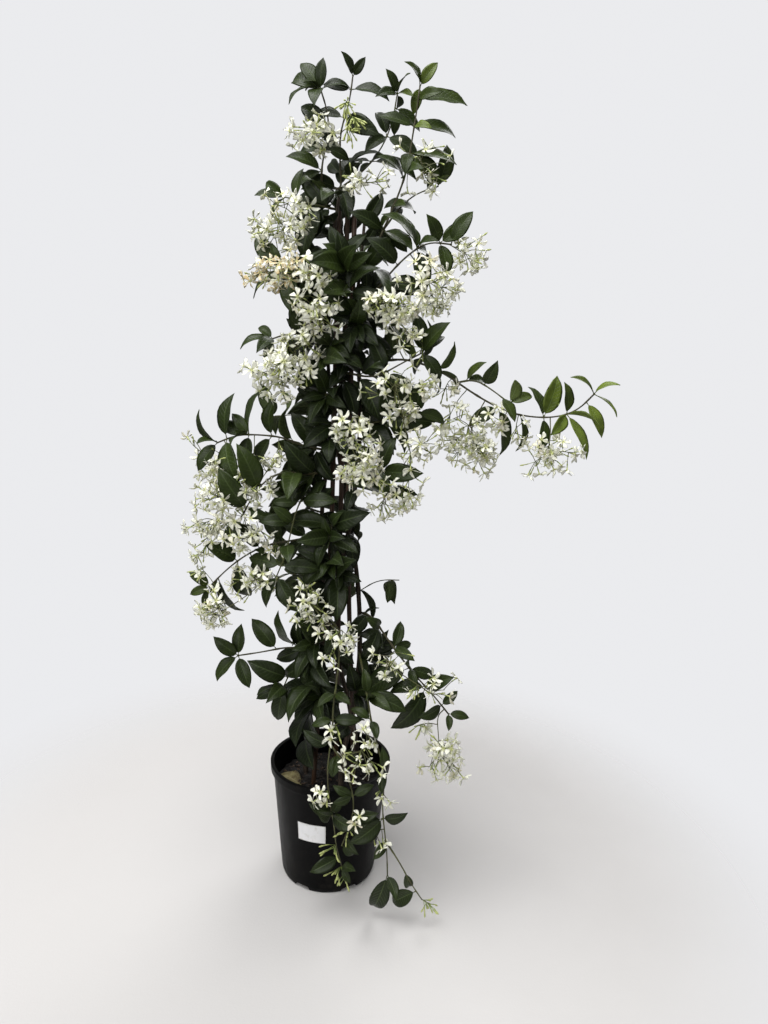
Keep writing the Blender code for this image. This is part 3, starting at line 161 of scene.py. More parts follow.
# Every place in these two tables is (x, z, y) in centimetres, read in the plane of the canes from EYE:
# at_depth() carries it along the line of sight to its depth y.
# A shoot: name, radius in mm, paths (the first is the main stem), leaf places (x, z), more leaves.
SHOOTS = (
    ("shoot_top_left", 1.7,
     (((-1.6, 96, -1), (-2.9, 100.5, -1.2), (-2.9, 105, -1.2), (-2, 108.6, -1), (-2.3, 111.4, -0.6),
       (-3.3, 114.2, -0.5)),
      ((-2.6, 98, -1.1), (-5, 99.6, -1.4), (-8, 100.2, -1))),
     ((-3.1, 116.6), (-5, 116.2), (-6, 113), (-0.8, 114.4), (-4.6, 114), (-9.6, 101.4), (-9, 98.4), (-6, 102),
      (-4.8, 94.6), (-4.2, 106.5), (-0.8, 106)), 4),
    ("shoot_top_middle", 1.7,
     (((0.2, 98, 2.9), (-0.4, 103.9, 1.5), (-0.7, 108, 0.9), (0.3, 111.5, 0.5), (0.9, 113.6, 0.3),
       (1, 116, 0.2)),
      ((-0.3, 102, 1.9), (3.6, 104.6, 1.4), (6, 108.6, 0.6), (6.7, 111.4, 0.2), (7, 114, 0))),
     ((3.4, 113.6), (-1.2, 114.6), (2, 117.4), (0, 117.8), (-2.4, 110.4), (2.4, 109.6), (8.3, 113.7),
      (5.1, 113.6), (8.5, 110.6), (5, 110), (7.9, 115.6), (6, 115.8), (4.3, 107.4), (7.8, 107.2),
      (1.9, 104.8)), 3),
    ("shoot_top_right", 1.8,
     (((3.2, 87.5, -1.5), (4.6, 93.5, -2), (6.8, 99, -2), (8.5, 103.5, -1.6), (9.2, 108.3, -1.2),
       (9.7, 112, -1), (10, 115, -0.8)),
      ((6, 97.4, -2), (9, 100.6, 0.4), (13, 102.2, 1.4))),
     ((13.2, 113), (12.3, 109.2), (12.2, 105.8), (8.7, 116.8), (11.4, 116.8), (7, 110.4), (6.4, 104.4),
      (8, 99.8), (11.4, 102.2), (13.6, 105.6), (3.4, 97.4), (7.4, 94.8), (11, 104.8)), 2),
    ("shoot_left_high", 1.6,
     (((-1.7, 86.5, -1.5), (-4, 88.6, -2.6), (-6.5, 90, -3), (-8.7, 90.7, -3)),),
     ((-3.7, 86.4), (-4.2, 92.2), (-6.9, 87.4), (-9.4, 92.8)), 4),
    ("shoot_left_upper", 1.6,
     (((-1.8, 79, -1), (-4.8, 81.8, -2), (-7.5, 81.9, -2.5), (-9.6, 81, -2.5)),),
     ((-12.4, 80.2), (-6, 84), (-9.8, 78.4), (-4, 78.8)), 2),
    ("shoot_left_long", 1.7,
     (((-2.3, 64, -1), (-6, 66.6, -2), (-9.5, 67.3, -2.5), (-14.5, 67.3, -3), (-17.4, 66, -3)),),
     ((-19, 69), (-15.4, 70), (-11.8, 70.8), (-13, 64.8), (-15, 63.6), (-19.2, 63.4), (-9.2, 70),
      (-10.6, 64.6), (-6.8, 69), (-6, 63.8)), 2),
    ("shoot_left_middle", 1.7,
     (((-2.4, 60, -2), (-5.5, 62.2, -4), (-9.5, 61.6, -5), (-12.4, 58, -5.5), (-13.9, 55, -5.5)),
      ((-4.4, 61.4, -3.4), (-6, 56, -6), (-7, 50.6, -6.4), (-8.6, 46.4, -6.4))),
     ((-15.6, 59.6), (-9.4, 58.6), (-11.3, 55.8), (-15.4, 52.4), (-12.9, 62.6), (-4.8, 57.8), (-8.8, 54.6),
      (-5, 47.8), (-9.6, 43.4), (-6.6, 43), (-10.4, 48.6)), 3),
    ("shoot_left_low", 1.7,
     (((-2.6, 50.4, -1.5), (-6, 52, -2.2), (-10, 51.2, -3), (-14, 49, -4), (-17, 46.2, -5),
       (-18.6, 44.4, -5.4)),),
     ((-16.8, 49.8), (-13.4, 45.8), (-18.6, 41.6), (-15.4, 43.2), (-9, 54), (-10.6, 47.6), (-12.8, 52.4),
      (-20.4, 45.8)), 1),
    ("shoot_left_lowest", 1.6,
     (((-3.1, 35.2, -1.5), (-6, 35.6, -3), (-9, 34.8, -4), (-12, 34.3, -4.5), (-14.4, 33.8, -4.5)),
      ((-4.6, 35.4, -2.3), (-6, 32.4, -4), (-7.4, 29, -4.6))),
     ((-16.6, 35.6), (-10.4, 37.4), (-9.8, 31.8), (-16.4, 31.2), (-13.2, 30.6), (-14, 37), (-7.9, 25.6),
      (-5, 26.8), (-10, 27.8), (-6.6, 38.2)), 0),
    ("shoot_right_high", 1.7,
     (((3, 84.6, -1), (4.8, 88, -2.4), (7.2, 91, -3), (10, 93.8, -3), (12.8, 95.2, -3), (15.2, 94.6, -3)),),
     ((5.6, 93.4), (8, 96.2), (9.8, 95.4), (11.2, 91.2), (14, 92.4), (12.6, 96.6), (15.8, 96.4), (9, 88),
      (6.6, 86.6)), 3),
    ("shoot_right_upper", 1.6,
     (((2.9, 73.4, -1.6), (5.2, 76, -3.6), (8.5, 78, -4.6), (11.8, 79.8, -5)),),
     ((11, 83.2), (13.8, 82.4), (13.4, 77.4), (8.6, 81), (8.7, 75), (5.4, 79.4)), 3),
    ("shoot_right_long", 1.9,
     (((2.9, 77, 1.2), (6, 78.4, 1.2), (10, 78.8, 1), (13.4, 77.6, 0.6), (16.3, 76.2, 0.2), (19.2, 74.2, 0),
       (23.8, 71.9, -0.5), (26.7, 71.2, -0.8), (30.4, 71.2, -1), (33, 71.4, -1), (34.8, 73, -1),
       (36.4, 74.8, -1)),
      ((16.3, 76.2, 0.2), (18.9, 76.4, -1.2), (21.9, 74.8, -1.6), (24.4, 73, -1.8))),
     ((21.5, 77.2), (20.7, 71), (26.4, 73.8), (30.2, 74.2), (31.6, 70.2), (29.2, 68.8), (23.2, 68.8),
      (26, 68.8), (32.4, 74), (34.2, 76.2), (38.6, 75.6), (38.6, 72.8), (36.6, 71), (34.4, 68.6),
      (15.1, 79.4), (14, 75.6), (19.4, 77.4), (7.6, 81.4), (11.6, 81.4), (28.2, 73.4)), 2),
    ("shoot_right_middle", 1.6,
     (((3, 68, -1.4), (5.5, 69.8, -3.6), (9, 70.8, -4.6), (11.4, 71.3, -4.6)),
      ((4.2, 68.8, -2.4), (5.6, 65.4, -5), (6.6, 61.6, -5.6), (7.2, 57.8, -5.6))),
     ((13.8, 70.4), (8.2, 67.8), (11.4, 74), (6.4, 73), (9.4, 62.6), (4.2, 60), (9.4, 59.4),
      (3.6, 65)), 3),
    ("shoot_right_low", 1.8,
     (((3.3, 43, -1.5), (5.5, 41, -3.5), (8, 37.4, -5), (10.5, 34, -6), (13, 31, -6.5), (16, 27.8, -6.5),
       (17.9, 25.4, -6.5)),),
     ((10.7, 34.9), (13.4, 32.2), (16.2, 30.6), (11.4, 29.2), (11.2, 25.6), (15, 25.8), (17.9, 24),
      (8.2, 30.6), (5.8, 39.8), (9.6, 38), (5.6, 36.4), (17.6, 27.8)), 0),
    ("shoot_front_fall", 1.6,
     (((0.6, 41.4, -3), (1, 37, -6.6), (0.8, 31, -9.2), (0.2, 27.2, -10.4), (0.2, 20.8, -11.4),
       (-0.5, 16.6, -11.8), (-0.2, 11.4, -11.8), (0.7, 7, -11.6), (1, 3.2, -11.5), (2.2, -1, -11.3)),
      ((0.2, 20.8, -11.4), (1.6, 18, -12.2), (2.8, 14.4, -12.4), (3.9, 10.6, -12.4), (3.2, 6, -12.2),
       (2, 2.8, -12))),
     ((-2.2, 21), (0.8, 17), (2, 12.2), (5.2, 12.4), (-1.4, 9), (-0.6, -0.6), (3, -2.6), (3.4, 2),
      (-1, 23.6), (2.4, 24), (5.6, 8.2)), 0),
    ("shoot_right_fall", 1.6,
     (((3.2, 37.4, -3.2), (4.4, 33, -7), (5.5, 27.3, -9.8), (6.6, 21, -11.4), (8.3, 16.4, -12),
       (8.3, 12, -12.2), (8.2, 8.6, -12.2), (8.9, 4.4, -12.2), (9.3, 0.6, -12.2), (9.4, -2.2, -12.2)),
      ((9.1, 3, -12.2), (11.2, 0.3, -13.2), (12.5, -2.2, -13.6), (13.6, -4.2, -13.6), (15, -6.2, -13.4))),
     ((8, -5.9), (12.1, -5.8), (10.3, 8.2), (5.9, 6.5), (8.6, 3.2), (8, 17.8), (4.4, 25), (8.4, 27)), 0),
    ("shoot_back_high", 1.6,
     (((0.8, 83, 3.2), (2.6, 86, 6), (3.4, 90, 8), (2, 94, 8.6)),
      ((1.8, 84.6, 4.8), (-1.4, 88, 7.2), (-4.6, 90, 7.8))),
     ((4.6, 92), (-1.8, 91.6), (6, 88)), 4),
    ("shoot_back_middle", 1.7,
     (((0.6, 63, 3.4), (2.6, 67, 6.2), (5.4, 70, 8), (8, 71.4, 8.6)),
      ((1.7, 65.2, 5), (-2.4, 69, 7.6), (-6.4, 70.6, 8), (-9.4, 70, 8))),
     ((9.4, 74), (-10.6, 73), (3, 73)), 6),
    ("shoot_back_low", 1.6,
     (((-0.6, 38, 4.2), (-2, 42, 7), (-5, 46, 8.4), (-7.4, 48, 8.6)),
      ((-1.3, 40, 5.7), (3, 44, 8), (7, 46.6, 8.6), (9.6, 46.4, 8.4))),
     ((-8, 51), (8, 44.6), (-1, 47.6)), 6),
    ("shoot_core_1", 1.6, (((-2.6, 40, -3), (-3.2, 36.2, -4.8), (-3, 31.5, -5), (-1.8, 28, -5)),),
     ((-1.2, 31), (-4.4, 26.2)), 10),
    ("shoot_core_2", 1.6, (((1.4, 44, -3.4), (0, 47.4, -4.6), (-0.8, 51, -4.6), (-0.6, 54.6, -4.4)),),
     ((-2.6, 47), (0.2, 51.6), (-2.6, 53.6), (2.2, 46.6)), 10),
    ("shoot_core_3", 1.6, (((-1.8, 70.6, -2.6), (-3, 73.4, -4), (-2.6, 77, -4.4), (-1.2, 80.4, -4.4)),),
     ((-5, 75.4), (-3.4, 81), (0.8, 78)), 9),
    ("shoot_core_4", 1.6, (((1.8, 80.6, -2.8), (2.2, 84, -4.2), (1, 88, -4.6), (0.2, 92.4, -4.4)),),
     ((3.9, 87.2), (-1.8, 90), (2.2, 94.4), (-1, 95)), 8),
    ("shoot_core_5", 1.6, (((-2.8, 54, 0.6), (-4.6, 56.6, 1.6), (-4.8, 60.4, 2), (-3.6, 64, 2)),),
     ((-7.4, 57), (-6.6, 61.6)), 10),
)

# A spray: name, the shoot that bears it, its bunches (x, z, y, flowers).
SPRAYS = (
    ("spray_top_left", "shoot_top_left", ((-3.8, 109.2, -3.2, 6),)),
    ("spray_top_middle", "shoot_top_middle", ((1.6, 102, -3.4, 2), (4.6, 102.6, -3.6, 2))),
    ("spray_top_right", "shoot_top_right", ((10.2, 106.2, -3.4, 3), (11.2, 103.2, -3.4, 2))),
    ("spray_left_crown", "shoot_top_left", ((-6.2, 97, -3.2, 4), (-9.4, 95, -3, 5))),
    ("spray_left_tan", "shoot_left_high", ((-6.6, 91.2, -5, 5), (-10.2, 89.4, -4, 4))),
    ("spray_left_high", "shoot_left_high", ((-2.2, 90.2, -6.8, 4), (-3.8, 85, -6.6, 5))),
    ("spray_left_upper", "shoot_left_upper", ((-5.8, 79.4, -5.4, 6), (-8.6, 76.6, -4.4, 6))),
    ("spray_left_tip", "shoot_left_long", ((-16.8, 62.6, -3.6, 5), (-20.8, 65.6, -3, 2))),
    ("spray_left_middle", "shoot_left_middle", ((-13.4, 60.6, -7, 5), (-16.6, 58, -6.6, 5))),
    ("spray_left_low", "shoot_left_low", ((-12.4, 54, -6.4, 5), (-17.8, 54.6, -5.6, 5))),
    ("spray_left_lowest", "shoot_left_low", ((-11, 45, -6.8, 4), (-18, 39.8, -6.4, 5))),
    ("spray_right_crown", "shoot_right_high", ((17, 93.4, -3.4, 4),)),
    ("spray_right_high", "shoot_right_high", ((12.2, 89.4, -5.6, 7),)),
    ("spray_right_upper", "shoot_right_upper", ((7.4, 86, -6.6, 7),)),
    ("spray_right_middle", "shoot_right_middle", ((7.9, 75.8, -8, 5), (10.6, 65.2, -6.8, 4))),
    ("spray_right_long", "shoot_right_long", ((18.8, 68.6, -2.6, 5), (20.4, 66, -2.8, 4))),
    ("spray_right_tip", "shoot_right_long", ((30.2, 65.6, -2.6, 6),)),
    ("spray_front_high", "shoot_right_middle", ((1, 68.2, -8, 5), (4.2, 62, -8.8, 7))),
    ("spray_front_low", "shoot_front_fall", ((-4.2, 42.8, -8.8, 5), (1.8, 37, -9.8, 4))),
    ("spray_right_low", "shoot_right_low", ((7.4, 33.8, -9, 3), (15.2, 28.6, -9, 2))),
    ("spray_right_lowest", "shoot_right_low", ((16.8, 18.6, -7.6, 6),)),
    ("spray_fall", "shoot_right_fall", ((4.9, 20.4, -12.8, 4), (4, 16.6, -13.6, 3))),
    ("spray_back", "shoot_back_middle", ((0.4, 74, 10, 4),)),
)

# Fine forms, in metres and shares of a length.
LEAF_STATIONS = (0.0, 0.04, 0.09, 0.15, 0.23, 0.33, 0.44, 0.55, 0.66, 0.76, 0.85, 0.92, 0.965)
LEAF_RING = (1, 0.7, 0.34, 0, -0.34, -0.7, -1, -0.7, -0.34, 0, 0.34, 0.7)
LEAF_TOPS = 7
TOP_KIND, UNDER_KIND, SHOOT_KIND, PETAL_KIND, TUBE_KIND, BUD_KIND, STALK_KIND = range(7)
LEAF_KINDS = [TOP_KIND] * 6 + [UNDER_KIND] * 6
PETIOLE_SHARE = 0.09
PETIOLE_RADIUS = 0.0008
LEAF_SKIN = 0.00035
LEAF_RIB = 0.0006
LEAF_GROOVE = 0.0003
LEAF_RIB_SHARE = 0.3
LEAF_FOLDS = (0.12, 0.34)
LEAF_WAVES = (0.03, 0.10)
LEAF_CURLS = (0.02, 0.08)
CURL_FROM = 0.7
CURL_BEND = 11
PETAL_STATIONS = (0.0, 0.2, 0.45, 0.7, 0.88, 1.0)
PETAL_SKIN = 0.00018
PETAL_RING = ((1, 0), (0.5, PETAL_SKIN), (0, PETAL_SKIN), (-0.5, PETAL_SKIN),
              (-1, 0), (-0.5, -PETAL_SKIN), (0, -PETAL_SKIN), (0.5, -PETAL_SKIN))
PETAL_KINDS = [PETAL_KIND] * 8
PETAL_ROOT = 0.0011
PETAL_HALF = 0.0031
TUBE_LENGTH = 0.0095
TUBE_PROFILE = ((0, 0.0009), (0.16, 0.0010), (0.3, 0.0007), (0.62, 0.0009), (0.84, 0.0012), (1, 0.0017))
PEDICEL_PROFILE = ((0, 0.000624), (0.4, 0.00048), (0.75, 0.00048), (1.02, 0.000624))
SHORTEST_PEDICEL = 0.3
FLOWER_BEND = 0.06
FLOWER_CUPS = (-0.0012, 0.0012)
ONE_PETAL_CUPS = (-0.0017, 0.0017)
PETAL_TWISTS = (0.3, 0.75)
PETAL_WAVES = (0.0003, 0.0010)
BUD_PROFILE = ((0, 0.0005), (0.4, 0.00042), (0.5, 0.0008), (0.6, 0.0008), (0.7, 0.0007),
               (0.82, 0.0013), (0.93, 0.0010), (1, 0.0003))
BUDS_A_FLOWER = 1.5
MORE_FLOWERS = 2.4
SIDE_STALKS = 3
SIDE_REACH = (0.016, 0.034)
SIDE_SHARE = 0.65
MORE_LEAVES = {"shoot_core": 18, "shoot_top": 7, "shoot_back": 14, "shoot_left": 6, "shoot_right": 5,
               "shoot_front": 6}
STEM_LEAVES = 62
BUNCH_END = 0.015
TRIES_A_BUNCH_FLOWER = 26

# More bunches: the node that bears each, its place (x, z, y) as in the tables above, and how many
# flowers and buds it has.
BUNCHES = (
    ("shoot_top_middle", (1.4, 110.6, -2.2), 0, 22),
    ("shoot_top_middle", (0.2, 112.6, -1.8), 0, 22),
    ("shoot_top_middle", (0.8, 109, -2.6), 0, 16),
    ("shoot_top_left", (-3.2, 107.4, -2.6), 2, 2),
    ("spray_left_crown", (-4.6, 98.6, -4.4), 4, 3),
    ("spray_left_crown", (-11.2, 95.2, -3.4), 4, 6),
    ("spray_left_crown", (-8.6, 97, -3.8), 3, 5),
    ("shoot_left_upper", (-4, 82.2, -4.4), 5, 4),
    ("shoot_left_upper", (-2, 84.6, -5.6), 4, 3),
    ("spray_left_upper", (-7.6, 79.4, -4.6), 5, 4),
    ("spray_left_upper", (-9.6, 74.6, -4.4), 4, 4),
    ("spray_left_upper", (-4.4, 76.2, -6), 4, 3),
    ("spray_right_upper", (4.4, 86.8, -7), 6, 3),
    ("spray_right_upper", (10.2, 86, -6.6), 5, 4),
    ("spray_right_high", (12.8, 86.4, -6), 5, 4),
    ("shoot_right_upper", (11.6, 81, -6), 3, 5),
    ("spray_right_middle", (12.4, 75.4, -6.6), 6, 3),
    ("shoot_right_long", (15, 74.6, -1.8), 4, 4),
    ("spray_right_middle", (8.2, 71, -5.4), 4, 4),
    ("spray_right_middle", (9.4, 59, -6.4), 6, 3),
    ("spray_right_middle", (6.2, 57.4, -6.8), 6, 3),
    ("shoot_right_long", (15.6, 70.2, -1.6), 4, 4),
    ("spray_right_long", (16.4, 67, -3), 5, 3),
    ("spray_right_long", (20.6, 67.4, -3), 4, 3),
    ("shoot_right_long", (23.4, 70, -1.6), 4, 3),
    ("spray_right_tip", (28.4, 64.6, -2.4), 4, 4),
    ("shoot_left_long", (-8.6, 65, -3.4), 4, 4),
    ("shoot_left_long", (-12, 63.4, -4), 4, 6),
    ("shoot_left_middle", (-12.1, 60.6, -5.8), 3, 5),
    ("spray_left_low", (-15.8, 54.4, -5.8), 4, 3),
    ("spray_left_low", (-19.4, 49.4, -5.4), 3, 4),
    ("spray_left_lowest", (-18, 43, -5.8), 3, 4),
    ("shoot_left_low", (-8.6, 51.2, -3.8), 3, 5),
    ("shoot_left_low", (-9.2, 46.4, -4.4), 3, 5),
    ("spray_front_high", (6.4, 61.2, -8.6), 6, 3),
    ("spray_front_high", (0.4, 69.6, -8.2), 4, 5),
    ("spray_front_low", (-3.6, 45.6, -8.4), 3, 6),
    ("spray_front_low", (-5.4, 41.4, -8.6), 3, 2),
    ("spray_right_lowest", (15.2, 16.6, -7.4), 4, 3),
    ("spray_right_lowest", (13, 23.4, -7), 2, 6),
    ("shoot_front_fall", (0.9, 22.8, -11.8), 2, 5),
    ("shoot_front_fall", (-1.4, 11.6, -12.4), 4, 4),
    ("shoot_front_fall", (5.2, 7.8, -12.8), 2, 3),
    ("shoot_front_fall", (3, 5.6, -12.8), 0, 8),
    ("shoot_front_fall", (0.6, 2.2, -12.4), 0, 8),
    ("shoot_front_fall", (1.2, -1.6, -12), 0, 8),
    ("shoot_front_fall", (2.5, -3.2, -11.6), 0, 6),
    ("shoot_right_fall", (7.4, 12.2, -12.8), 2, 4),
    ("shoot_right_fall", (6.8, 5.2, -12.8), 2, 2),
    ("shoot_right_fall", (16.4, -7.2, -13.4), 0, 12),
    ("spray_right_middle", (9.8, 70.6, -6), 5, 2),
    ("spray_right_middle", (10.4, 58.4, -6.6), 5, 2),
    ("spray_right_long", (16.4, 70.6, -2.4), 4, 2),
    ("spray_right_long", (17, 65.4, -3), 5, 2),
    ("spray_right_long", (21.6, 65.4, -3), 5, 2),
    ("shoot_right_long", (25.4, 68.6, -1.6), 4, 3),
    ("spray_left_middle", (-10.8, 60, -6.6), 6, 3),
    ("spray_left_middle", (-15.2, 60.6, -6.4), 4, 3),
    ("spray_left_high", (-2.2, 83.4, -6.8), 6, 2),
    ("spray_left_upper", (-4, 80, -6), 6, 2),
    ("spray_left_upper", (-6.4, 78.6, -5.8), 5, 2),
    ("spray_right_high", (13.2, 86, -6), 5, 2),
    ("spray_right_upper", (4.6, 85.6, -7), 4, 2),
    ("spray_left_low", (-20.2, 53.4, -5.4), 3, 3),
    ("spray_left_lowest", (-20, 47.6, -5.6), 2, 4),
    ("spray_right_low", (12.4, 29.4, -8.6), 2, 4),
    ("spray_right_lowest", (18.4, 16.6, -7.4), 4, 2),
)

# More leaves at places read from the photograph: the node that bears each and its place (x, z, y).
PLACED_LEAVES = (
    ("shoot_top_middle", (1.6, 104.6, -0.6)), ("shoot_top_middle", (4.6, 105.8, 0)),
    ("shoot_top_middle", (6.5, 104.4, -0.4)), ("shoot_top_right", (10.9, 104.5, -2.6)),
    ("shoot_top_right", (9.4, 103.2, -3.4)), ("shoot_top_right", (7.8, 99.6, -3.4)),
    ("shoot_top_right", (6.4, 97.4, -3.6)), ("shoot_top_right", (7.7, 95, -3.8)),
    ("shoot_top_left", (-4.4, 102.8, -2)), ("shoot_top_left", (-1.4, 99.2, -3)),
    ("shoot_top_left", (-5.4, 104.6, -1.6)),
    ("shoot_front_fall", (2.2, 10.8, -13)), ("shoot_front_fall", (3.3, 3.4, -12.8)),
    ("shoot_front_fall", (0.6, 16.6, -12.4)), ("shoot_front_fall", (1.6, 27.4, -11)),
    ("shoot_right_fall", (7.9, 16.9, -12.6)), ("shoot_right_fall", (5.8, 6.3, -13)),
    ("shoot_right_fall", (6.4, 23, -11.6)), ("shoot_right_fall", (5, 30.4, -9)),
    ("stem_left", (-3, 17.4, -4)), ("stem_left", (-2.2, 21.4, -5)), ("stem_left", (-4.8, 22, -3.4)),
    ("stem_left", (-5.6, 28.4, -3)), ("stem_right", (1.4, 21.6, -5.4)), ("stem_right", (3.4, 17.8, -4.4)),
    ("stem_right", (3.8, 24.4, -5)), ("stem_left", (-0.6, 25, -5.6)), ("stem_right", (5.4, 28.6, -3.6)),
)

# The share of the extra flowers that these sprays get. The others get all of them.
FLOWER_SHARES = {"spray_top_middle": 0.35, "spray_top_right": 0.3, "spray_fall": 0.5,
                 "spray_front_low": 0.7, "spray_right_low": 0.5, "spray_left_tip": 0.7,
                 "spray_right_crown": 0.8, "spray_top_left": 0.8}

# Where the added leaves and flowers may stand, and how finely the other forms are divided.
NO_MARK = (0, 0, 0)
BOX_MARGIN = 0.002
LEAF_MARGIN = 0.003
TRIES_A_LEAF = 14
TRIES_A_FLOWER = 16
SIDE_TRIES = 12
SIDE_STEP = 0.006
SIDE_HALF = 0.0006
ADDED_REACH = (0.012, 0.026)
ADDED_SIZE = (0.8, 1.04)
BUD_REACH = (0.013, 0.026)
FLOWER_SHRINK = 0.94
STEM_LEAF_FROM = 0.27
SHOOT_ROOT = 0.0025
SMALLEST_FLOWER = 0.5
FLOWER_HANG = Vector((0, -0.15, -0.2))
BARE_REACH = 0.022
MORE_SIZES = (0.45, 0.9)
STEM_LEAF_SIZES = (0.6, 1.1)
TOWARDS_VIEW = Vector((0, -0.5, 0))
BARE_HEIGHTS = (0.42, 0.60)
STALK_ROOT = 0.0016
OLD_SPRAY = "spray_left_tan"
POT_FINE_SIDES = 144
POT_SHARP = 35
SLOT_STEPS = 16
SOIL_FINE_RINGS = 44
SOIL_FINE_SIDES = 150
SOIL_BITS = 320
CANE_FINE_STEP = 0.0045
CANE_FINE_SIDES = 16
CANE_JOINT = 0.105
CANE_HOLLOW = 0.006
CANE_BORE = 0.62
JOINT_SWELL = 0.0022
JOINT_DARK = 0.0011
KNOT_SPACING = 0.062
KNOT_SWELL = 0.10
KNOT_SPREAD = 0.00002
STEM_FINE_SIDES = 14
TIE_FINE_SIDES = 56
TIE_EDGE = 0.0004
TIE_BUCKLE_TURN = 250.0
TIE_BUCKLE = (0.0036, 0.0011, 0.0034)
BUCKLE_ENDS = ((-1, 0.72), (-0.82, 1.0), (0.82, 1.0), (1, 0.72))
BUCKLE_SINK = 0.0002
BUCKLE_RING = ((1, 0.55), (0.55, 1), (-0.55, 1), (-1, 0.55),
               (-1, -0.55), (-0.55, -1), (0.55, -1), (1, -0.55))
CLIP_TURN = -100
CLIP_TAB_TURN = 14
CLIP_TAB = ((0.0006, 0.0011), (0.0026, 0.0012), (0.0044, 0.0010), (0.0048, 0.0006))
CLODS = ((130, 0.0016), (330, 0.0009))
CRUMBS = (720, 0.0006)
BIT_SIZES = (0.0014, 0.0042)
BIT_STRETCH = (0.9, 2.2)
BIT_LEAN = 0.4
BIT_RAISED = 0.12
BIT_FROM_WALL = 0.006
BIT_LINE = (-0.5, -0.3, 0.1, 0.4, 0.5)
BIT_RADII = ((0.12, 0.2), (0.3, 0.42), (0.3, 0.45), (0.2, 0.35), (0.08, 0.15))
LABEL_GRID = (36, 18)
LABEL_LIFT = 0.00875
LABEL_CREASE = 0.00022
LABEL_WAVE = 0.0001

# Colours, as linear red, green and blue.
# The leaf colours run from dark to light by a leaf's tone: their dark end serves as painted shade and their
# light end as painted light, besides old and young leaves.
LEAF_TOP_COLOURS = ((0.003, 0.006, 0.0015), (0.030, 0.047, 0.008), (0.165, 0.225, 0.030))
LEAF_GLOSS = 0.24
LEAF_TOP_VEIN = (0.10, 0.14, 0.05)
LEAF_UNDER_COLOURS = ((0.009, 0.015, 0.004), (0.062, 0.090, 0.022), (0.215, 0.285, 0.062))
LEAF_UNDER_VEIN = (0.22, 0.27, 0.11)
SHOOT_YOUNG = (0.110, 0.125, 0.035)
SHOOT_OLD = (0.040, 0.030, 0.014)
SHOOT_PORES = (0.20, 0.17, 0.11)
PETAL_TIP = (0.97, 0.97, 0.85)
PETAL_MIDDLE = (0.64, 0.66, 0.30)
PETAL_AGED = (0.62, 0.47, 0.22)
TUBE_FOOT = (0.24, 0.30, 0.08)
TUBE_TOP = (0.60, 0.63, 0.27)
BUD_FOOT = (0.17, 0.23, 0.05)
BUD_TOP = (0.47, 0.51, 0.18)
STALK_YOUNG = (0.13, 0.16, 0.05)
STALK_OLD = (0.075, 0.070, 0.025)
PETIOLE_GREEN = (0.10, 0.11, 0.03)
POT_BLACKS = ((0.0012, 0.0012, 0.0013), (0.004, 0.004, 0.0044))
POT_DUST = (0.030, 0.026, 0.021)
SOIL_BROWNS = ((0.001, 0.0007, 0.0005), (0.006, 0.004, 0.0028))
SOIL_CRUMB = (0.018, 0.012, 0.007)
SOIL_GRAIN = (0.20, 0.17, 0.13)
CHIP_BROWNS = ((0.012, 0.007, 0.004), (0.10, 0.060, 0.034))
CHIP_GRAIN = (0.018, 0.010, 0.006)
CANE_BROWNS = ((0.028, 0.014, 0.008), (0.105, 0.054, 0.028))
CANE_STAIN = (0.020, 0.012, 0.008)
# Dark at the joints, and painted shade in the canes' hollow tops.
CANE_RING_AND_HOLLOW_SHADE = (0.035, 0.020, 0.012)
BARK_BROWNS = ((0.009, 0.006, 0.004), (0.075, 0.050, 0.032))
BARK_BLOOM = (0.045, 0.048, 0.027)
BARK_PORES = (0.26, 0.21, 0.15)
TIE_BLACKS = ((0.010, 0.010, 0.011), (0.028, 0.028, 0.030))
CLIP_TEALS = ((0.006, 0.13, 0.14), (0.02, 0.22, 0.23))
PAPER_WHITES = ((0.83, 0.83, 0.84), (0.66, 0.65, 0.62))
PAPER_DUST = (0.42, 0.40, 0.36)
DRY_BROWNS = ((0.22, 0.19, 0.075), (0.085, 0.06, 0.02))
DRY_VEIN = (0.28, 0.25, 0.12)
DRY_RIB = (0.30, 0.26, 0.13)

# How light a leaf is: the share that each measure adds between two values, and then the least that
# each leaves of it below them. Leaves far out and small ones are lighter, as young leaves are; lighter
# leaves at the top and on the right are painted light, and darker ones low down and near the canes are
# painted shade, though older leaves there are darker too.
TONE_FLOOR = 0.10
TONE_ANY = 0.26
TONE_PARTS_AND_PAINTED_LIGHT = (("height", 0.16, 0.75, 1.1), ("reach", 0.16, 0.05, 0.13), ("short", 0.18, -0.045, -0.030),
              ("reach", 0.12, 0.17, 0.25), ("reach", 0.30, 0.27, 0.35), ("right", 0.14, 0.12, 0.20),
              ("height", 0.08, 0.9, 1.1))
TONE_PAINTED_SHADE = (("height", 0.55, 0.2, 0.45), ("reach", 0.35, 0.03, 0.09))

# The studio: light places in metres and powers in watts; the camera as fitted to the photograph.
SKY_COLOUR = (0.83, 0.835, 0.855)
SKY_LIGHT = (0.17, 0.17, 0.172)
LIGHTS = (("key", (-0.7, -0.6, 3.0), 2.4, 96.0), ("back", (0.9, 1.9, 2.4), 1.8, 38.0),
          ("front", (-1.0, -2.6, 1.5), 2.0, 36.0))
LIGHT_AIM = (0.0, 0.0, 0.6)
FLOOR_RADIUS = 1.2
FLOOR_DROP = 0.0002
FLOOR_COLOUR = (0.60, 0.585, 0.575)
FLOOR_PATCH = (0.45, 0.44, 0.43)
FLOOR_FADE = (0.42, 0.80)
FRAME_WIDTH = 768
FRAME_HEIGHT = 1024
SENSOR = 36.0
FOCAL_PIXELS = 760.6
MIDDLE_PIXEL = (382.5, 473.5)
CAMERA_PLACE = (0.0661, -1.0867, 0.8004)
CAMERA_PITCH = 9.263
CAMERA_ROLL = 1.805


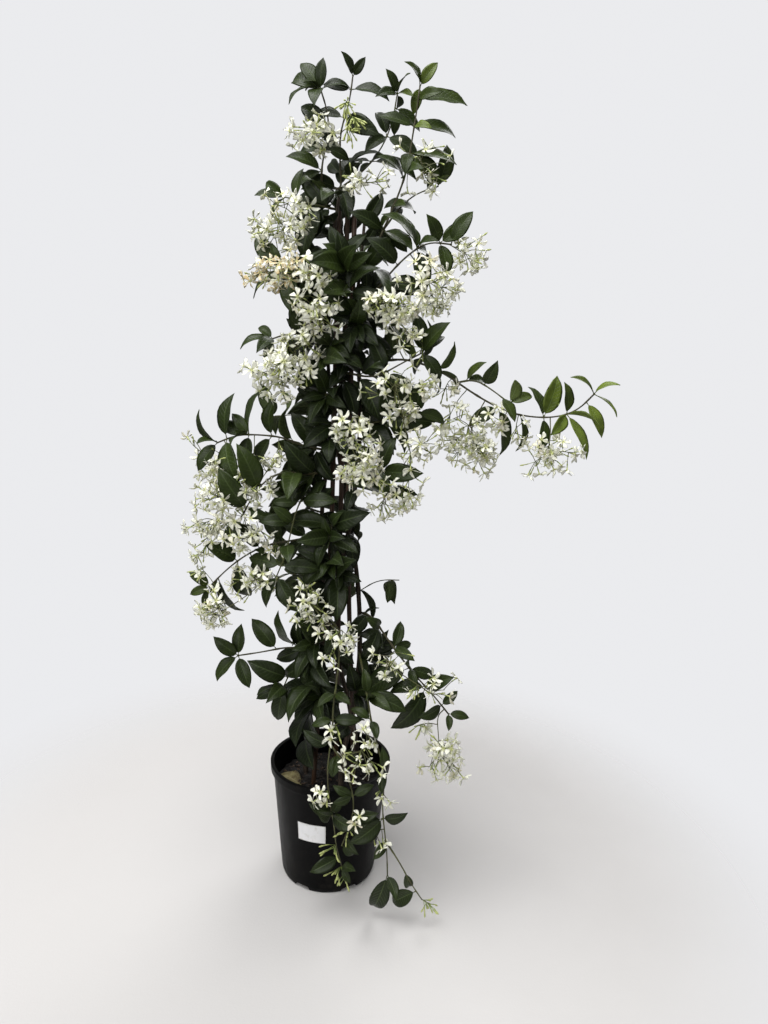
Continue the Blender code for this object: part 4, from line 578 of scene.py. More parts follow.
def at_depth(x, z, y):
    """A place read in the plane of the canes, carried along the line of sight to its depth."""
    seen = Vector((x * CM, 0.0, z * CM))
    return EYE + (seen - EYE) * (1.0 - y * CM / EYE.y)


def blend(table, z):
    """The value at height z in a table of (height, value)."""
    for (low, first), (high, second) in zip(table, table[1:]):
        if z <= high:
            return first + (second - first) * max(0.0, z - low) / (high - low)
    return table[-1][1]


def round_middle(angle, radius, z):
    """A point round the canes' middle line."""
    turn = math.radians(angle)
    return MIDDLE + Vector((radius * math.cos(turn), radius * math.sin(turn), z))


def smooth(points, step):
    """A smooth curve through the points, as a chain of nearly equal steps."""
    ends = [2 * points[0] - points[1]] + list(points) + [2 * points[-1] - points[-2]]
    fine = []
    for a, b, c, d in zip(ends, ends[1:], ends[2:], ends[3:]):
        for i in range(CURVE_RUNS):
            t = i / CURVE_RUNS
            fine.append(0.5 * (2 * b + (c - a) * t + (2 * a - 5 * b + 4 * c - d) * t * t
                               + (3 * b - a - 3 * c + d) * t ** 3))
    fine.append(points[-1].copy())
    lengths = [0.0]
    for a, b in zip(fine, fine[1:]):
        lengths.append(lengths[-1] + (b - a).length)
    count = max(2, round(lengths[-1] / step))
    chain = []
    place = 0
    for i in range(count):
        goal = lengths[-1] * i / count
        while lengths[place + 1] < goal:
            place += 1
        share = (goal - lengths[place]) / max(1e-9, lengths[place + 1] - lengths[place])
        chain.append(fine[place].lerp(fine[place + 1], share))
    return chain + [fine[-1]]


def curve_tube(name, points, radii, sides):
    """A curve object with a round section of an even number of sides and filled caps."""
    curve = bpy.data.curves.new(name, "CURVE")
    curve.dimensions = "3D"
    curve.bevel_depth = 1.0
    curve.bevel_resolution = sides // 2 - 2
    curve.use_fill_caps = True
    spline = curve.splines.new("POLY")
    spline.points.add(len(points) - 1)
    for point, place, radius in zip(spline.points, points, radii):
        point.co = (*place, 1.0)
        point.radius = radius
    tube = bpy.data.objects.new(name, curve)
    bpy.context.scene.collection.objects.link(tube)
    return tube


def meshed(tube):
    """The closed mesh of a curve object, which is then removed."""
    tube_evaluated = tube.evaluated_get(bpy.context.evaluated_depsgraph_get())
    mesh = bpy.data.meshes.new_from_object(tube_evaluated)
    mesh.name = tube.name
    bpy.data.objects.remove(tube)
    shape = bmesh.new()
    shape.from_mesh(mesh)
    bmesh.ops.remove_doubles(shape, verts=shape.verts, dist=WELD)
    bmesh.ops.recalc_face_normals(shape, faces=shape.faces)
    shape.to_mesh(mesh)
    shape.free()
    return mesh


def tree_of(mesh):
    """A search tree over a mesh's faces."""
    places = [v.co for v in mesh.vertices]
    return BVHTree.FromPolygons(places, [tuple(p.vertices) for p in mesh.polygons])


class Crowd:
    """What is already placed, so that a new piece can be laid clear of its neighbours."""

    def __init__(self):
        self.pieces = []

    def add(self, node, places, faces):
        low, high = corners(places)
        self.pieces.append((node, low, high, BVHTree.FromPolygons(places, faces)))

    def add_mesh(self, node, mesh):
        self.add(node, [v.co.copy() for v in mesh.vertices], [tuple(p.vertices) for p in mesh.polygons])

    def is_clear(self, node, places, faces):
        """True where the piece crosses nothing of another node, nor the pot, soil or floor."""
        if not clear_of_pot(places):
            return False
        low, high = corners(places)
        tree = None
        for other, other_low, other_high, other_tree in self.pieces:
            if other == node:
                continue
            if any(low[k] > other_high[k] or high[k] < other_low[k] for k in range(3)):
                continue
            if tree is None:
                tree = BVHTree.FromPolygons(places, faces)
            if tree.overlap(other_tree):
                return False
        return True


def corners(places):
    """The lowest and highest corner of a set of points."""
    low = [min(p[k] for p in places) for k in range(3)]
    high = [max(p[k] for p in places) for k in range(3)]
    return low, high


def clear_of_pot(places):
    """True where every point is above the floor and outside the pot, or in its mouth over the soil."""
    for place in places:
        if place.z < FLOOR_CLEARANCE:
            return False
        if place.z > POT_HEIGHT + RIM_CLEARANCE:
            continue
        reach = math.hypot(place.x, place.y)
        wall = POT_BASE_RADIUS + (POT_RIM_RADIUS - POT_BASE_RADIUS) * place.z / POT_HEIGHT
        in_mouth = reach < wall - 2 * LIP_DEPTH and place.z > SOIL_HEIGHT + SOIL_CLEARANCE
        if reach < wall + WALL_CLEARANCE and not in_mouth:
            return False
    return True


def leaf_template(rings):
    """A leaf's closed blade of three-cornered rings: its faces, and where each vertex lies on it."""
    shape = bmesh.new()
    bmesh.ops.create_uvsphere(shape, u_segments=3, v_segments=rings + 1, radius=1.0)
    bmesh.ops.triangulate(shape, faces=shape.faces)
    turns = [math.atan2(v.co.y, v.co.x) for v in shape.verts if abs(v.co.z) < 0.99]
    marks = []
    for v in shape.verts:
        step = round((rings + 1) * math.acos(max(-1.0, min(1.0, -v.co.z))) / math.pi)
        corner = round(3 * (math.atan2(v.co.y, v.co.x) - turns[0]) / math.tau) % 3
        across, over = ((1, 0), (-1, 0), (0, -1))[corner]
        if step in (0, rings + 1):
            across = over = 0
        marks.append((step / (rings + 1), across, over))
    faces = [tuple(v.index for v in f.verts) for f in shape.faces]
    shape.free()
    return faces, marks


def leaf_width(t):
    """A leaf's half width at t of its length, as a share of its widest."""
    return math.sin(math.pi * min(1.0, max(0.0, t)) ** 0.92) ** 0.8 * (1.06 - 0.2 * t)


def leaf_place(leaf, t, across, over, grow=0.0):
    """A point of a leaf: t along it, across from -1 to 1, over -1 on the keel of its under face."""
    chord = leaf["tip"] - leaf["base"]
    length = chord.length
    along = chord / length
    face = (leaf["face"] - along * leaf["face"].dot(along)).normalized()
    side = face.cross(along)
    half = leaf["width"] * 0.5 * leaf_width(t)
    rib = leaf["base"] + chord * t + face * (4 * t * (1 - t) * leaf["arch"] * length)
    if 0.0 < t < 1.0:
        half += grow
        rib += face * (over * (LEAF_KEEL + grow))
    return rib + side * (across * half)


def leaf_places(leaf, grow=0.0):
    """Every vertex of a leaf's blade."""
    marks = LEAF_TEMPLATES[leaf["rings"]][1]
    return [leaf_place(leaf, t, across, over, grow) for t, across, over in marks]


def blade_places(leaf):
    """A leaf's blade without its foot, for a test against its neighbours on the same shoot."""
    marks = LEAF_TEMPLATES[leaf["rings"]][1]
    return [leaf_place(leaf, max(t, LEAF_FOOT), across, over) for t, across, over in marks]


LEAF_TEMPLATES = {rings: leaf_template(rings) for rings in (2, 3)}


def flower_template(cup):
    """A five-petalled pinwheel: a ring at the throat, petals that lean one way and a spike."""
    places = [Vector((0, 0, FLOWER_RISE)), Vector((0, 0, -3 * FLOWER_RISE))]
    faces = []
    for i in range(PETALS):
        turn = math.tau * i / PETALS
        places.append(Vector((FLOWER_THROAT * math.cos(turn), FLOWER_THROAT * math.sin(turn), 0)))
    for i in range(PETALS):
        turn = math.tau * (i + PETAL_LEAN) / PETALS
        places.append(Vector((FLOWER_RADIUS * math.cos(turn), FLOWER_RADIUS * math.sin(turn), cup)))
    for i in range(PETALS):
        this_root = 2 + i
        next_root = 2 + (i + 1) % PETALS
        tip = 2 + PETALS + i
        faces += [(0, this_root, tip), (0, tip, next_root), (this_root, next_root, tip)]
        faces.append((1, next_root, this_root))
    return places, faces


FLOWER_TEMPLATES = [flower_template(cup) for cup in PETAL_CUPS]


def petal_places(flower, grow=0.0):
    """A flower's petals without its long spike, for a test against its neighbours."""
    places = FLOWER_TEMPLATES[flower["form"]][0]
    turn = flower["axis"].to_track_quat("Z", "Y").to_matrix()
    turn = turn @ Matrix.Rotation(flower["spin"], 3, "Z")
    middle = flower["foot"] + flower["axis"] * flower["reach"]
    scale = flower["size"] * (1 + grow / FLOWER_RADIUS)
    placed = [middle + turn @ (p * scale) for p in places]
    placed[0] += flower["axis"] * grow
    return placed


def flower_places(flower, grow=0.0):
    """Every vertex of a flower: its spike ends at its foot on the stalk."""
    places = petal_places(flower, grow)
    places[1] = flower["foot"]
    return places


def any_direction(draw):
    """A direction drawn evenly from all round."""
    z = draw.uniform(-1, 1)
    turn = draw.uniform(0, math.tau)
    flat = math.sqrt(1 - z * z)
    return Vector((flat * math.cos(turn), flat * math.sin(turn), z))


def outward(place):
    """The level direction away from the canes' middle line."""
    away = Vector((place.x - MIDDLE.x, place.y - MIDDLE.y, 0.0))
    return away.normalized() if away.length > 1e-6 else Vector((0, -1, 0))


def cane_points(index):
    """A cane's points, from its foot in the soil to its top."""
    corner_points = [round_middle(CANE_ANGLES[index], radius, z) for z, radius in CANE_SPREAD]
    return smooth(corner_points, CANE_STEP)


def stem_points(index):
    """A woody stem's points: it rises straight from the soil, then twines outside the canes."""
    points = []
    top = STEM_TOPS[index]
    count = round((top - STEM_FOOT) / STEM_STEP)
    for i in range(count + 1):
        z = STEM_FOOT + (top - STEM_FOOT) * i / count
        turned = 360.0 * max(0.0, z - STRAIGHT_FOOT) / STEM_RISE_A_TURN
        sway = STEM_SWAY * math.sin(z * 41 + index * 2)
        radius = blend(CANE_SPREAD, z) + STEM_OFFSET + sway
        points.append(round_middle(STEM_ANGLES[index] + turned, radius, z))
    return points


def stem_radii(count):
    """A woody stem's radii, thinner towards its top."""
    return [STEM_BASE_RADIUS + (STEM_TOP_RADIUS - STEM_BASE_RADIUS) * i / (count - 1) for i in range(count)]


def seated(node, points, radii, hosts):
    """The stem with its first point brought to about 0.3 mm from the host that bears it."""
    best = None
    for tree in hosts:
        hit = tree.find_nearest(points[1])
        if best is None or hit[3] < best[3]:
            best = hit
    spot = best[0]
    away = (points[1] - spot).normalized()
    for step in range(SEAT_TRIES):
        start = spot + away * (GAP + SEAT_STEP * step)
        mesh = meshed(curve_tube(node, [start] + points[1:], radii, SHOOT_SIDES))
        clear = not any(tree_of(mesh).overlap(tree) for tree in hosts)
        bpy.data.meshes.remove(mesh)
        if clear:
            return [start] + points[1:]
    return [start] + points[1:]


def lay_stem(crowd, node, corner_points, radius, step, tip, hosts):
    """A stem through the corner points, swayed until it crosses no other node."""
    for attempt in range(STEM_TRIES):
        draw = random.Random(f"{node} {len(crowd.pieces)} {attempt}")
        sway = SWAY_STEP * attempt
        moved = [corner_points[0]] + [p + any_direction(draw) * sway for p in corner_points[1:]]
        points = smooth(moved, step)
        count = len(points)
        radii = [radius * (1 - (1 - tip) * i / (count - 1)) for i in range(count)]
        if hosts:
            points = seated(node, points, radii, hosts)
        wide = meshed(curve_tube(node, points, [r + CLEARANCE / 2 for r in radii], SHOOT_SIDES))
        faces = [tuple(p.vertices) for p in wide.polygons]
        places = [v.co.copy() for v in wide.vertices]
        clear = crowd.is_clear(node, places, faces)
        bpy.data.meshes.remove(wide)
        if clear:
            break
    mesh = meshed(curve_tube(node, points, radii, SHOOT_SIDES))
    crowd.add_mesh(node, mesh)
    return {"points": points, "radii": radii, "mesh": mesh}


def aimed_leaf(draw, base, aim, width_share, rings):
    """A leaf from its foot on a stem towards a place that its middle passes."""
    reach = (aim - base).length
    length = min(LONGEST_LEAF * LEAF_LENGTH, max(SHORTEST_LEAF * LEAF_LENGTH, 2.0 * reach))
    low, high = TOP_LIGHT_HEIGHTS
    light = FRONT_LIGHT if base.y < MIDDLE.y else BACK_LIGHT
    light = light.lerp(TOP_LIGHT, min(1.0, max(0.0, (base.z - low) / (high - low))))
    face = light + outward(base) * LEAF_TURN_OUT + any_direction(draw) * LEAF_TURN_ANY
    return {"base": base, "tip": base + (aim - base).normalized() * length, "face": face,
            "width": length * LEAF_ASPECT * width_share, "arch": draw.uniform(*LEAF_ARCH),
            "rings": rings}


def try_leaf(crowd, node, leaf, leaves):
    """Place a leaf if it crosses no other node and does not lie in another leaf's place."""
    faces = LEAF_TEMPLATES[leaf["rings"]][0]
    chord = leaf["tip"] - leaf["base"]
    if chord.normalized().cross(leaf["face"].normalized()).length < EDGE_ON:
        return False
    blade = BVHTree.FromPolygons(blade_places(leaf), faces)
    if any(blade.overlap(other["tree"]) for other in leaves):
        return False
    if not crowd.is_clear(node, leaf_places(leaf, CLEARANCE), faces):
        return False
    crowd.add(node, leaf_places(leaf), faces)
    leaf["tree"] = blade
    leaves.append(leaf)
    return True


def leaf_joints(stem):
    """The places on a stem that leaves grow from: the middle of each run, and just inside its end."""
    points = stem["points"]
    middles = [(a + b) / 2 for a, b in zip(points, points[1:])]
    return middles + [points[-1] + (points[-2] - points[-1]).normalized() * SINK]


def add_seen_leaves(crowd, shoot):
    """The leaves whose places are given, each from the nearest joint of the shoot."""
    node = shoot["name"]
    joints = [p for stem in shoot["stems"] for p in leaf_joints(stem)]
    ends = [leaf_joints(stem)[-1] for stem in shoot["stems"]]
    for number, (x, z) in enumerate(shoot["places"]):
        draw = random.Random(f"{node} leaf {number}")
        base = min(joints, key=lambda point: (at_depth(x, z, point.y / CM) - point).length)
        width_share = YOUNG_WIDTH if x > YOUNG_FROM else 1.0
        for attempt in range(LEAF_TRIES):
            depth = base.y / CM + draw.uniform(-1.5, 1.0) * (1 + 0.12 * attempt)
            aim = at_depth(x, z, depth) + any_direction(draw) * (SWAY_STEP * attempt)
            leaf = aimed_leaf(draw, base, aim, width_share, 3 if number % 5 == 0 else 2)
            if base in ends or attempt > SMALLER_AFTER:
                leaf["tip"] = leaf["base"].lerp(leaf["tip"], TIP_LEAF)
                leaf["width"] *= TIP_LEAF
            if try_leaf(crowd, node, leaf, shoot["leaves"]):
                break


def add_more_leaves(crowd, shoot):
    """More leaves in opposite pairs, each pair a quarter turn from the last."""
    node = shoot["name"]
    draw = random.Random(f"{node} more")
    wanted = shoot["more"]
    for stem in shoot["stems"]:
        points = [stem["points"][0]] + leaf_joints(stem)
        for joint in range(1, len(points)):
            along = (points[joint] - points[joint - 1]).normalized()
            side = along.cross(Vector((0.1, 0.2, 1))).normalized()
            for half in (0, 1):
                if wanted <= 0:
                    return
                for attempt in range(PAIR_TRIES):
                    turn = math.radians(90 * joint + 180 * half + draw.uniform(-20, 20) * (1 + attempt / 2))
                    away = Matrix.Rotation(turn, 3, along) @ side
                    away += outward(points[joint]) * 0.5 + along * draw.uniform(0.1, 0.7)
                    away.z -= draw.uniform(0.0, 0.35)
                    aim = points[joint] + away.normalized() * LEAF_LENGTH * draw.uniform(*MORE_LEAF_REACH)
                    leaf = aimed_leaf(draw, points[joint], aim, 1.0, 2)
                    if try_leaf(crowd, node, leaf, shoot["leaves"]):
                        wanted -= 1
                        break


def plan_plant():
    """Every stem, leaf and flower, each laid clear of the others."""
    crowd = Crowd()
    fixed = {}
    for index, name in enumerate(CANE_NAMES):
        points = cane_points(index)
        fixed[name] = meshed(curve_tube(name, points, [CANE_RADIUS] * len(points), CANE_SIDES))
    for index, name in enumerate(STEM_NAMES):
        points = stem_points(index)
        fixed[name] = meshed(curve_tube(name, points, stem_radii(len(points)), STEM_SIDES))
    for name, mesh in fixed.items():
        crowd.add_mesh(name, mesh)
    woody = [tree_of(fixed[name]) for name in STEM_NAMES]
    shoots = []
    for name, radius, paths, places, more in SHOOTS:
        shoot = {"name": name, "stems": [], "leaves": [], "places": places, "more": more}
        for number, path in enumerate(paths):
            corner_points = [at_depth(*place) for place in path]
            if number:
                main = leaf_joints(shoot["stems"][0])
                corner_points[0] = min(main, key=lambda p: (p - corner_points[0]).length)
            thickness = radius * MM * (SIDE_SHOOT if number else 1.0)
            hosts = () if number else woody
            stem = lay_stem(crowd, name, corner_points, thickness, SHOOT_STEP, SHOOT_TIP, hosts)
            shoot["stems"].append(stem)
        shoots.append(shoot)
    sprays = [plan_stalks(crowd, shoots, *row) for row in SPRAYS]
    for shoot in shoots:
        add_seen_leaves(crowd, shoot)
    for spray in sprays:
        add_flowers(crowd, spray)
    for shoot in shoots:
        add_more_leaves(crowd, shoot)
    return shoots, sprays, crowd


def plan_stalks(crowd, shoots, name, bearer, bunches):
    """A spray's stalk, from its shoot through the middle of each of its bunches."""
    shoot = next(s for s in shoots if s["name"] == bearer)
    middles = [at_depth(x, z, y) for x, z, y, count in bunches]
    joints = [p for stem in shoot["stems"] for p in stem["points"][1:-1]]
    start = min(joints, key=lambda p: (p - middles[0]).length)
    lift = Vector((0, 0, 0.12 * (middles[0] - start).length))
    way = [start, start.lerp(middles[0], 0.5) + lift] + middles
    hosts = [tree_of(stem["mesh"]) for stem in shoot["stems"]]
    stalk = lay_stem(crowd, name, way, STALK_RADIUS, STALK_STEP, STALK_TIP, hosts)
    counts = [bunch[3] for bunch in bunches]
    return {"name": name, "stalk": stalk, "middles": middles, "counts": counts, "flowers": []}


def on_chain(points, distance):
    """The place at a distance along a chain of points, kept off its corners, and the direction there."""
    for a, b in zip(points, points[1:]):
        run = (b - a).length
        if distance <= run or b is points[-1]:
            share = min(1 - SINK / run, max(SINK / run, distance / run))
            return a.lerp(b, share), (b - a).normalized()
        distance -= run


def chain_distance(points, place):
    """How far along a chain of points the nearest of its corners to a place is."""
    nearest = min(range(len(points)), key=lambda i: (points[i] - place).length)
    return sum((b - a).length for a, b in zip(points[:nearest], points[1:nearest + 1]))


def add_flowers(crowd, spray):
    """Each bunch's flowers, spread along the stalk on long spikes that point all ways from it."""
    node = spray["name"]
    points = spray["stalk"]["points"]
    taken = []
    for number, (middle, count) in enumerate(zip(spray["middles"], spray["counts"])):
        draw = random.Random(f"{node} flowers {number}")
        centre = chain_distance(points, middle)
        lean = outward(middle) * 0.5 + BUNCH_LEAN
        for flower_number in range(count):
            share = flower_number / max(1, count - 1) - 0.7
            foot, along = on_chain(points, max(SINK, centre + BUNCH_SPAN * share))
            for attempt in range(FLOWER_TRIES):
                axis = (any_direction(draw) + along * 0.3 + lean * 0.5).normalized()
                if abs(axis.dot(along)) > ALONG_STALK:
                    continue
                flower = {"foot": foot, "axis": axis, "spin": draw.uniform(0, math.tau),
                          "reach": draw.uniform(*FLOWER_REACH), "size": draw.uniform(0.88, 1.08),
                          "form": draw.randrange(3)}
                faces = FLOWER_TEMPLATES[flower["form"]][1]
                tree = BVHTree.FromPolygons(petal_places(flower, CLEARANCE), faces)
                if any(tree.overlap(other) for other in taken):
                    continue
                if not crowd.is_clear(node, flower_places(flower, CLEARANCE), faces):
                    continue
                taken.append(BVHTree.FromPolygons(petal_places(flower), faces))
                crowd.add(node, flower_places(flower), faces)
                spray["flowers"].append(flower)
                break


class Shape:
    """Vertices, faces and pattern marks gathered for one piece."""

    def __init__(self, name, finishes):
        self.name = name
        self.finishes = finishes
        self.points = []
        self.faces = []
        self.kinds = []
        self.marks = []

    def ring(self, places, marks):
        """Add a ring of vertices and return their numbers."""
        first = len(self.points)
        self.points.extend(places)
        self.marks.extend(marks)
        return list(range(first, first + len(places)))

    def loft(self, one, two, kinds):
        """Join two rings of equal count by a band of faces."""
        count = len(one)
        for k in range(count):
            after = (k + 1) % count
            self.faces.append((one[k], one[after], two[after], two[k]))
            self.kinds.append(kinds[k])

    def skin(self, rings, kinds):
        """Join each ring to the next."""
        for one, two in zip(rings, rings[1:]):
            self.loft(one, two, kinds)

    def close(self, ring, place, mark, kinds, start=False):
        """Close a ring by a fan to one point."""
        tip = self.ring([place], [mark])[0]
        count = len(ring)
        for k in range(count):
            after = (k + 1) % count
            self.faces.append((ring[after], ring[k], tip) if start else (ring[k], ring[after], tip))
            self.kinds.append(kinds[k])

    def piece(self, node, slot, sharp=None):
        """Make the object inside the CAD model's box. It rides on the root and replaces its node, if any."""
        low, high = CAD_BOX
        places = [tuple(min(high[k], max(low[k], p[k])) for k in range(3)) for p in self.points]
        mesh = bpy.data.meshes.new(self.name)
        mesh.from_pydata(places, [], self.faces)
        used = sorted(set(self.kinds))
        for kind in used:
            mesh.materials.append(self.finishes[kind])
        mesh.polygons.foreach_set("material_index", [used.index(kind) for kind in self.kinds])
        mesh.polygons.foreach_set("use_smooth", [True] * len(self.faces))
        spot = mesh.attributes.new("spot", "FLOAT_VECTOR", "POINT")
        spot.data.foreach_set("vector", [value for mark in self.marks for value in mark])
        if sharp is not None:
            mesh.set_sharp_from_angle(angle=math.radians(sharp))
        piece = bpy.data.objects.new(self.name, mesh)
        bpy.context.scene.collection.objects.link(piece)
        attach(piece, "root")
        if node:
            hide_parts(node)
        return piece


def ease(value, low, high):
    """A smooth step from 0 at low to 1 at high."""
    t = min(1.0, max(0.0, (value - low) / (high - low)))
    return t * t * (3 - 2 * t)


def directions(points):
    """The direction, and two directions across it, at each point of a line."""
    frames = []
    side = None
    for i in range(len(points)):
        along = (points[min(len(points) - 1, i + 1)] - points[max(0, i - 1)]).normalized()
        if side is None:
            side = along.orthogonal()
        side = (side - along * side.dot(along)).normalized()
        frames.append((along, side, along.cross(side)))
    return frames


def around(sides):
    """The cosine and sine of each corner of a regular ring."""
    turns = [math.tau * k / sides for k in range(sides)]
    return [(math.cos(turn), math.sin(turn)) for turn in turns]


def sweep(shape, points, radii, sides, kind, tone=0.5):
    """A round closed tube along a line. Its marks are metres along, share round and tone."""
    rings = []
    length = 0.0
    for i, (point, (along, side, other)) in enumerate(zip(points, directions(points))):
        if i:
            length += (point - points[i - 1]).length
        places = [point + (side * c + other * s) * radii[i] for c, s in around(sides)]
        rings.append(shape.ring(places, [(length, k / sides, tone) for k in range(sides)]))
    kinds = [kind] * sides
    shape.skin(rings, kinds)
    shape.close(rings[0], points[0], (0, 0, tone), kinds, start=True)
    shape.close(rings[-1], points[-1], (length, 0, tone), kinds)


def softened(points, radii, runs):
    """The smooth line that a chain of runs stands for: it passes the middle of every run."""
    places = [points[0]]
    sizes = [radii[0]]
    for i in range(1, len(points) - 1):
        start = (points[i - 1] + points[i]) / 2
        end = (points[i] + points[i + 1]) / 2
        first = (radii[i - 1] + radii[i]) / 2
        last = (radii[i] + radii[i + 1]) / 2
        for k in range(runs):
            t = k / runs
            places.append(start * (1 - t) ** 2 + points[i] * (2 * t * (1 - t)) + end * t * t)
            sizes.append(first * (1 - t) + last * t)
    places += [(points[-2] + points[-1]) / 2, points[-1]]
    sizes += [(radii[-2] + radii[-1]) / 2, radii[-1]]
    return places, sizes


def blade_width(t):
    """A fine leaf's half width at t of its length, with a drawn-out tip."""
    s = min(1.0, max(0.0, (t - PETIOLE_SHARE) / (1 - PETIOLE_SHARE)))
    return math.sin(math.pi * s ** 0.86) ** 0.74 * (1.05 - 0.16 * s) * (1 - 0.4 * ease(s, 0.8, 1.0))


def add_leaf(shape, leaf, draw, tone):
    """A fine leaf: a stalk that widens into an arched, folded blade with waved edges."""
    chord = leaf["tip"] - leaf["base"]
    length = chord.length
    along = chord / length
    face = (leaf["face"] - along * leaf["face"].dot(along)).normalized()
    side = face.cross(along)
    bend = leaf["arch"] * length
    fold = draw.uniform(*LEAF_FOLDS)
    wave = draw.uniform(*LEAF_WAVES)
    phase = draw.uniform(0, math.tau)
    curl = draw.uniform(*LEAF_CURLS) * length
    before = None
    for t in LEAF_STATIONS:
        past = max(0.0, t - CURL_FROM)
        rib = leaf["base"] + chord * t + face * (4 * t * (1 - t) * bend - curl * past * past * CURL_BEND)
        slope = chord + face * (4 * (1 - 2 * t) * bend - curl * past * 2 * CURL_BEND)
        normal = slope.normalized().cross(side)
        half = leaf["width"] * 0.5 * blade_width(t)
        blade = ease(t, 0.3 * PETIOLE_SHARE, 1.6 * PETIOLE_SHARE)
        places = []
        for number, across in enumerate(LEAF_RING):
            under = number >= LEAF_TOPS
            round_height = math.sqrt(1 - across * across) * (-1 if under else 1)
            stalk = side * (across * PETIOLE_RADIUS) + normal * (round_height * PETIOLE_RADIUS)
            ripple = wave * across * across * math.sin(13 * t + phase + (1.4 if across > 0 else 0))
            height = half * (fold * abs(across) ** 1.5 + ripple)
            rib_share = max(0.0, 1 - abs(across) / LEAF_RIB_SHARE)
            height -= LEAF_RIB * rib_share if under else LEAF_GROOVE * rib_share
            if under:
                height -= LEAF_SKIN
            places.append(rib + stalk * (1 - blade) + (side * (across * half) + normal * height) * blade)
        ring = shape.ring(places, [(t, across, tone) for across in LEAF_RING])
        if before:
            shape.loft(before, ring, LEAF_KINDS)
        else:
            shape.close(ring, leaf["base"], (0, 0, tone), LEAF_KINDS, start=True)
        before = ring
    tip = leaf["tip"] - face * (curl * (1 - CURL_FROM) ** 2 * CURL_BEND)
    shape.close(before, tip, (1, 0, tone), LEAF_KINDS)


def add_petal(shape, put, number, cup, twist, wave, tone):
    """A fine petal: narrow at the throat, wide and cut slantwise at its end, set like a propeller's blade."""
    before = None
    for s in PETAL_STATIONS:
        radius = PETAL_ROOT + (FLOWER_RADIUS - PETAL_ROOT) * s
        turn = math.tau * (number + 0.5 + (PETAL_LEAN - 0.5) * s) / PETALS
        half = PETAL_HALF * (0.26 + 0.74 * ease(s, 0.02, 0.78)) * (1 - 0.3 * ease(s, 0.86, 1.02))
        out = Vector((math.cos(turn), math.sin(turn), 0))
        over = Vector((-math.sin(turn), math.cos(turn), 0))
        places = []
        for across, lift in PETAL_RING:
            reach = radius + across * half * 0.5 * s
            height = cup * s * s + across * half * twist + abs(across) * half * 0.2 + lift
            height += wave * s * math.sin(2.6 * across + 5 * s + number)
            flat = out * reach + over * (across * half)
            places.append(put(Vector((flat.x, flat.y, height))))
        ring = shape.ring(places, [(s, across, tone) for across, lift in PETAL_RING])
        if before:
            shape.loft(before, ring, PETAL_KINDS)
        else:
            middle = sum(places, Vector()) / len(places)
            shape.close(ring, middle, (0, 0, tone), PETAL_KINDS, start=True)
        before = ring
    middle = sum((shape.points[k] for k in before), Vector()) / len(before)
    shape.close(before, middle, (1, 0, tone), PETAL_KINDS)


def flower_line(foot, axis, reach, draw):
    """The line of a flower's stalk and tube: it leaves its foot with a slight bend."""
    bend = any_direction(draw) * (FLOWER_BEND * reach)
    return lambda share: foot + axis * (reach * share) + bend * math.sin(math.pi * share)


def spread_of(flower, size):
    """The corners of the space that a flower's open petals take, at a size."""
    middle = flower["foot"] + flower["axis"] * flower["reach"]
    reach = (FLOWER_RADIUS + PETAL_HALF * 0.5) * size
    cup = flower["axis"] * (PETAL_CUPS[-1] * size)
    spread = [reach * math.sqrt(max(0.0, 1 - flower["axis"][k] ** 2)) for k in range(3)]
    return [middle + cup + Vector(spread), middle + cup - Vector(spread)]


def add_flower(shape, flower, draw, tone):
    """A fine flower: a thin stalk, calyx, tube and five petals."""
    axis = flower["axis"]
    reach = flower["reach"]
    size = flower["size"]
    while size > SMALLEST_FLOWER and not inside(spread_of(flower, size)):
        size *= FLOWER_SHRINK
    turn = axis.to_track_quat("Z", "Y").to_matrix() @ Matrix.Rotation(flower["spin"], 3, "Z")
    middle = flower["foot"] + axis * reach

    def put(place):
        return middle + turn @ (place * size)

    line = flower_line(flower["foot"], axis, reach, draw)
    tube_start = max(SHORTEST_PEDICEL, 1 - TUBE_LENGTH / reach)
    pedicel = [line(tube_start * share) for share, radius in PEDICEL_PROFILE]
    sweep(shape, pedicel, [radius for share, radius in PEDICEL_PROFILE], 5, STALK_KIND, tone)
    shares = [tube_start + (1 - tube_start) * share for share, radius in TUBE_PROFILE]
    sweep(shape, [line(s) for s in shares], [radius for share, radius in TUBE_PROFILE], 6, TUBE_KIND, tone)
    cup = PETAL_CUPS[flower["form"]] + draw.uniform(*FLOWER_CUPS)
    twist = draw.uniform(*PETAL_TWISTS)
    wave = draw.uniform(*PETAL_WAVES)
    for number in range(PETALS):
        add_petal(shape, put, number, cup + draw.uniform(*ONE_PETAL_CUPS), twist, wave, tone)


def add_bud(shape, foot, axis, reach, draw, tone):
    """A closed bud: a thin stalk and a long pointed spindle."""
    line = flower_line(foot, axis, reach, draw)
    points = [line(share) for share, radius in BUD_PROFILE]
    sweep(shape, points, [radius for share, radius in BUD_PROFILE], 6, BUD_KIND, tone)


def in_bare_side(place):
    """True to the right of the canes' lower half, where the plant is open."""
    return place.x > MIDDLE.x + BARE_REACH and BARE_HEIGHTS[0] < place.z < BARE_HEIGHTS[1]


def inside(places, margin=0.0):
    """True where every point lies within the CAD model's box."""
    low, high = CAD_BOX
    return all(low[k] + margin <= p[k] <= high[k] - margin for p in places for k in range(3))


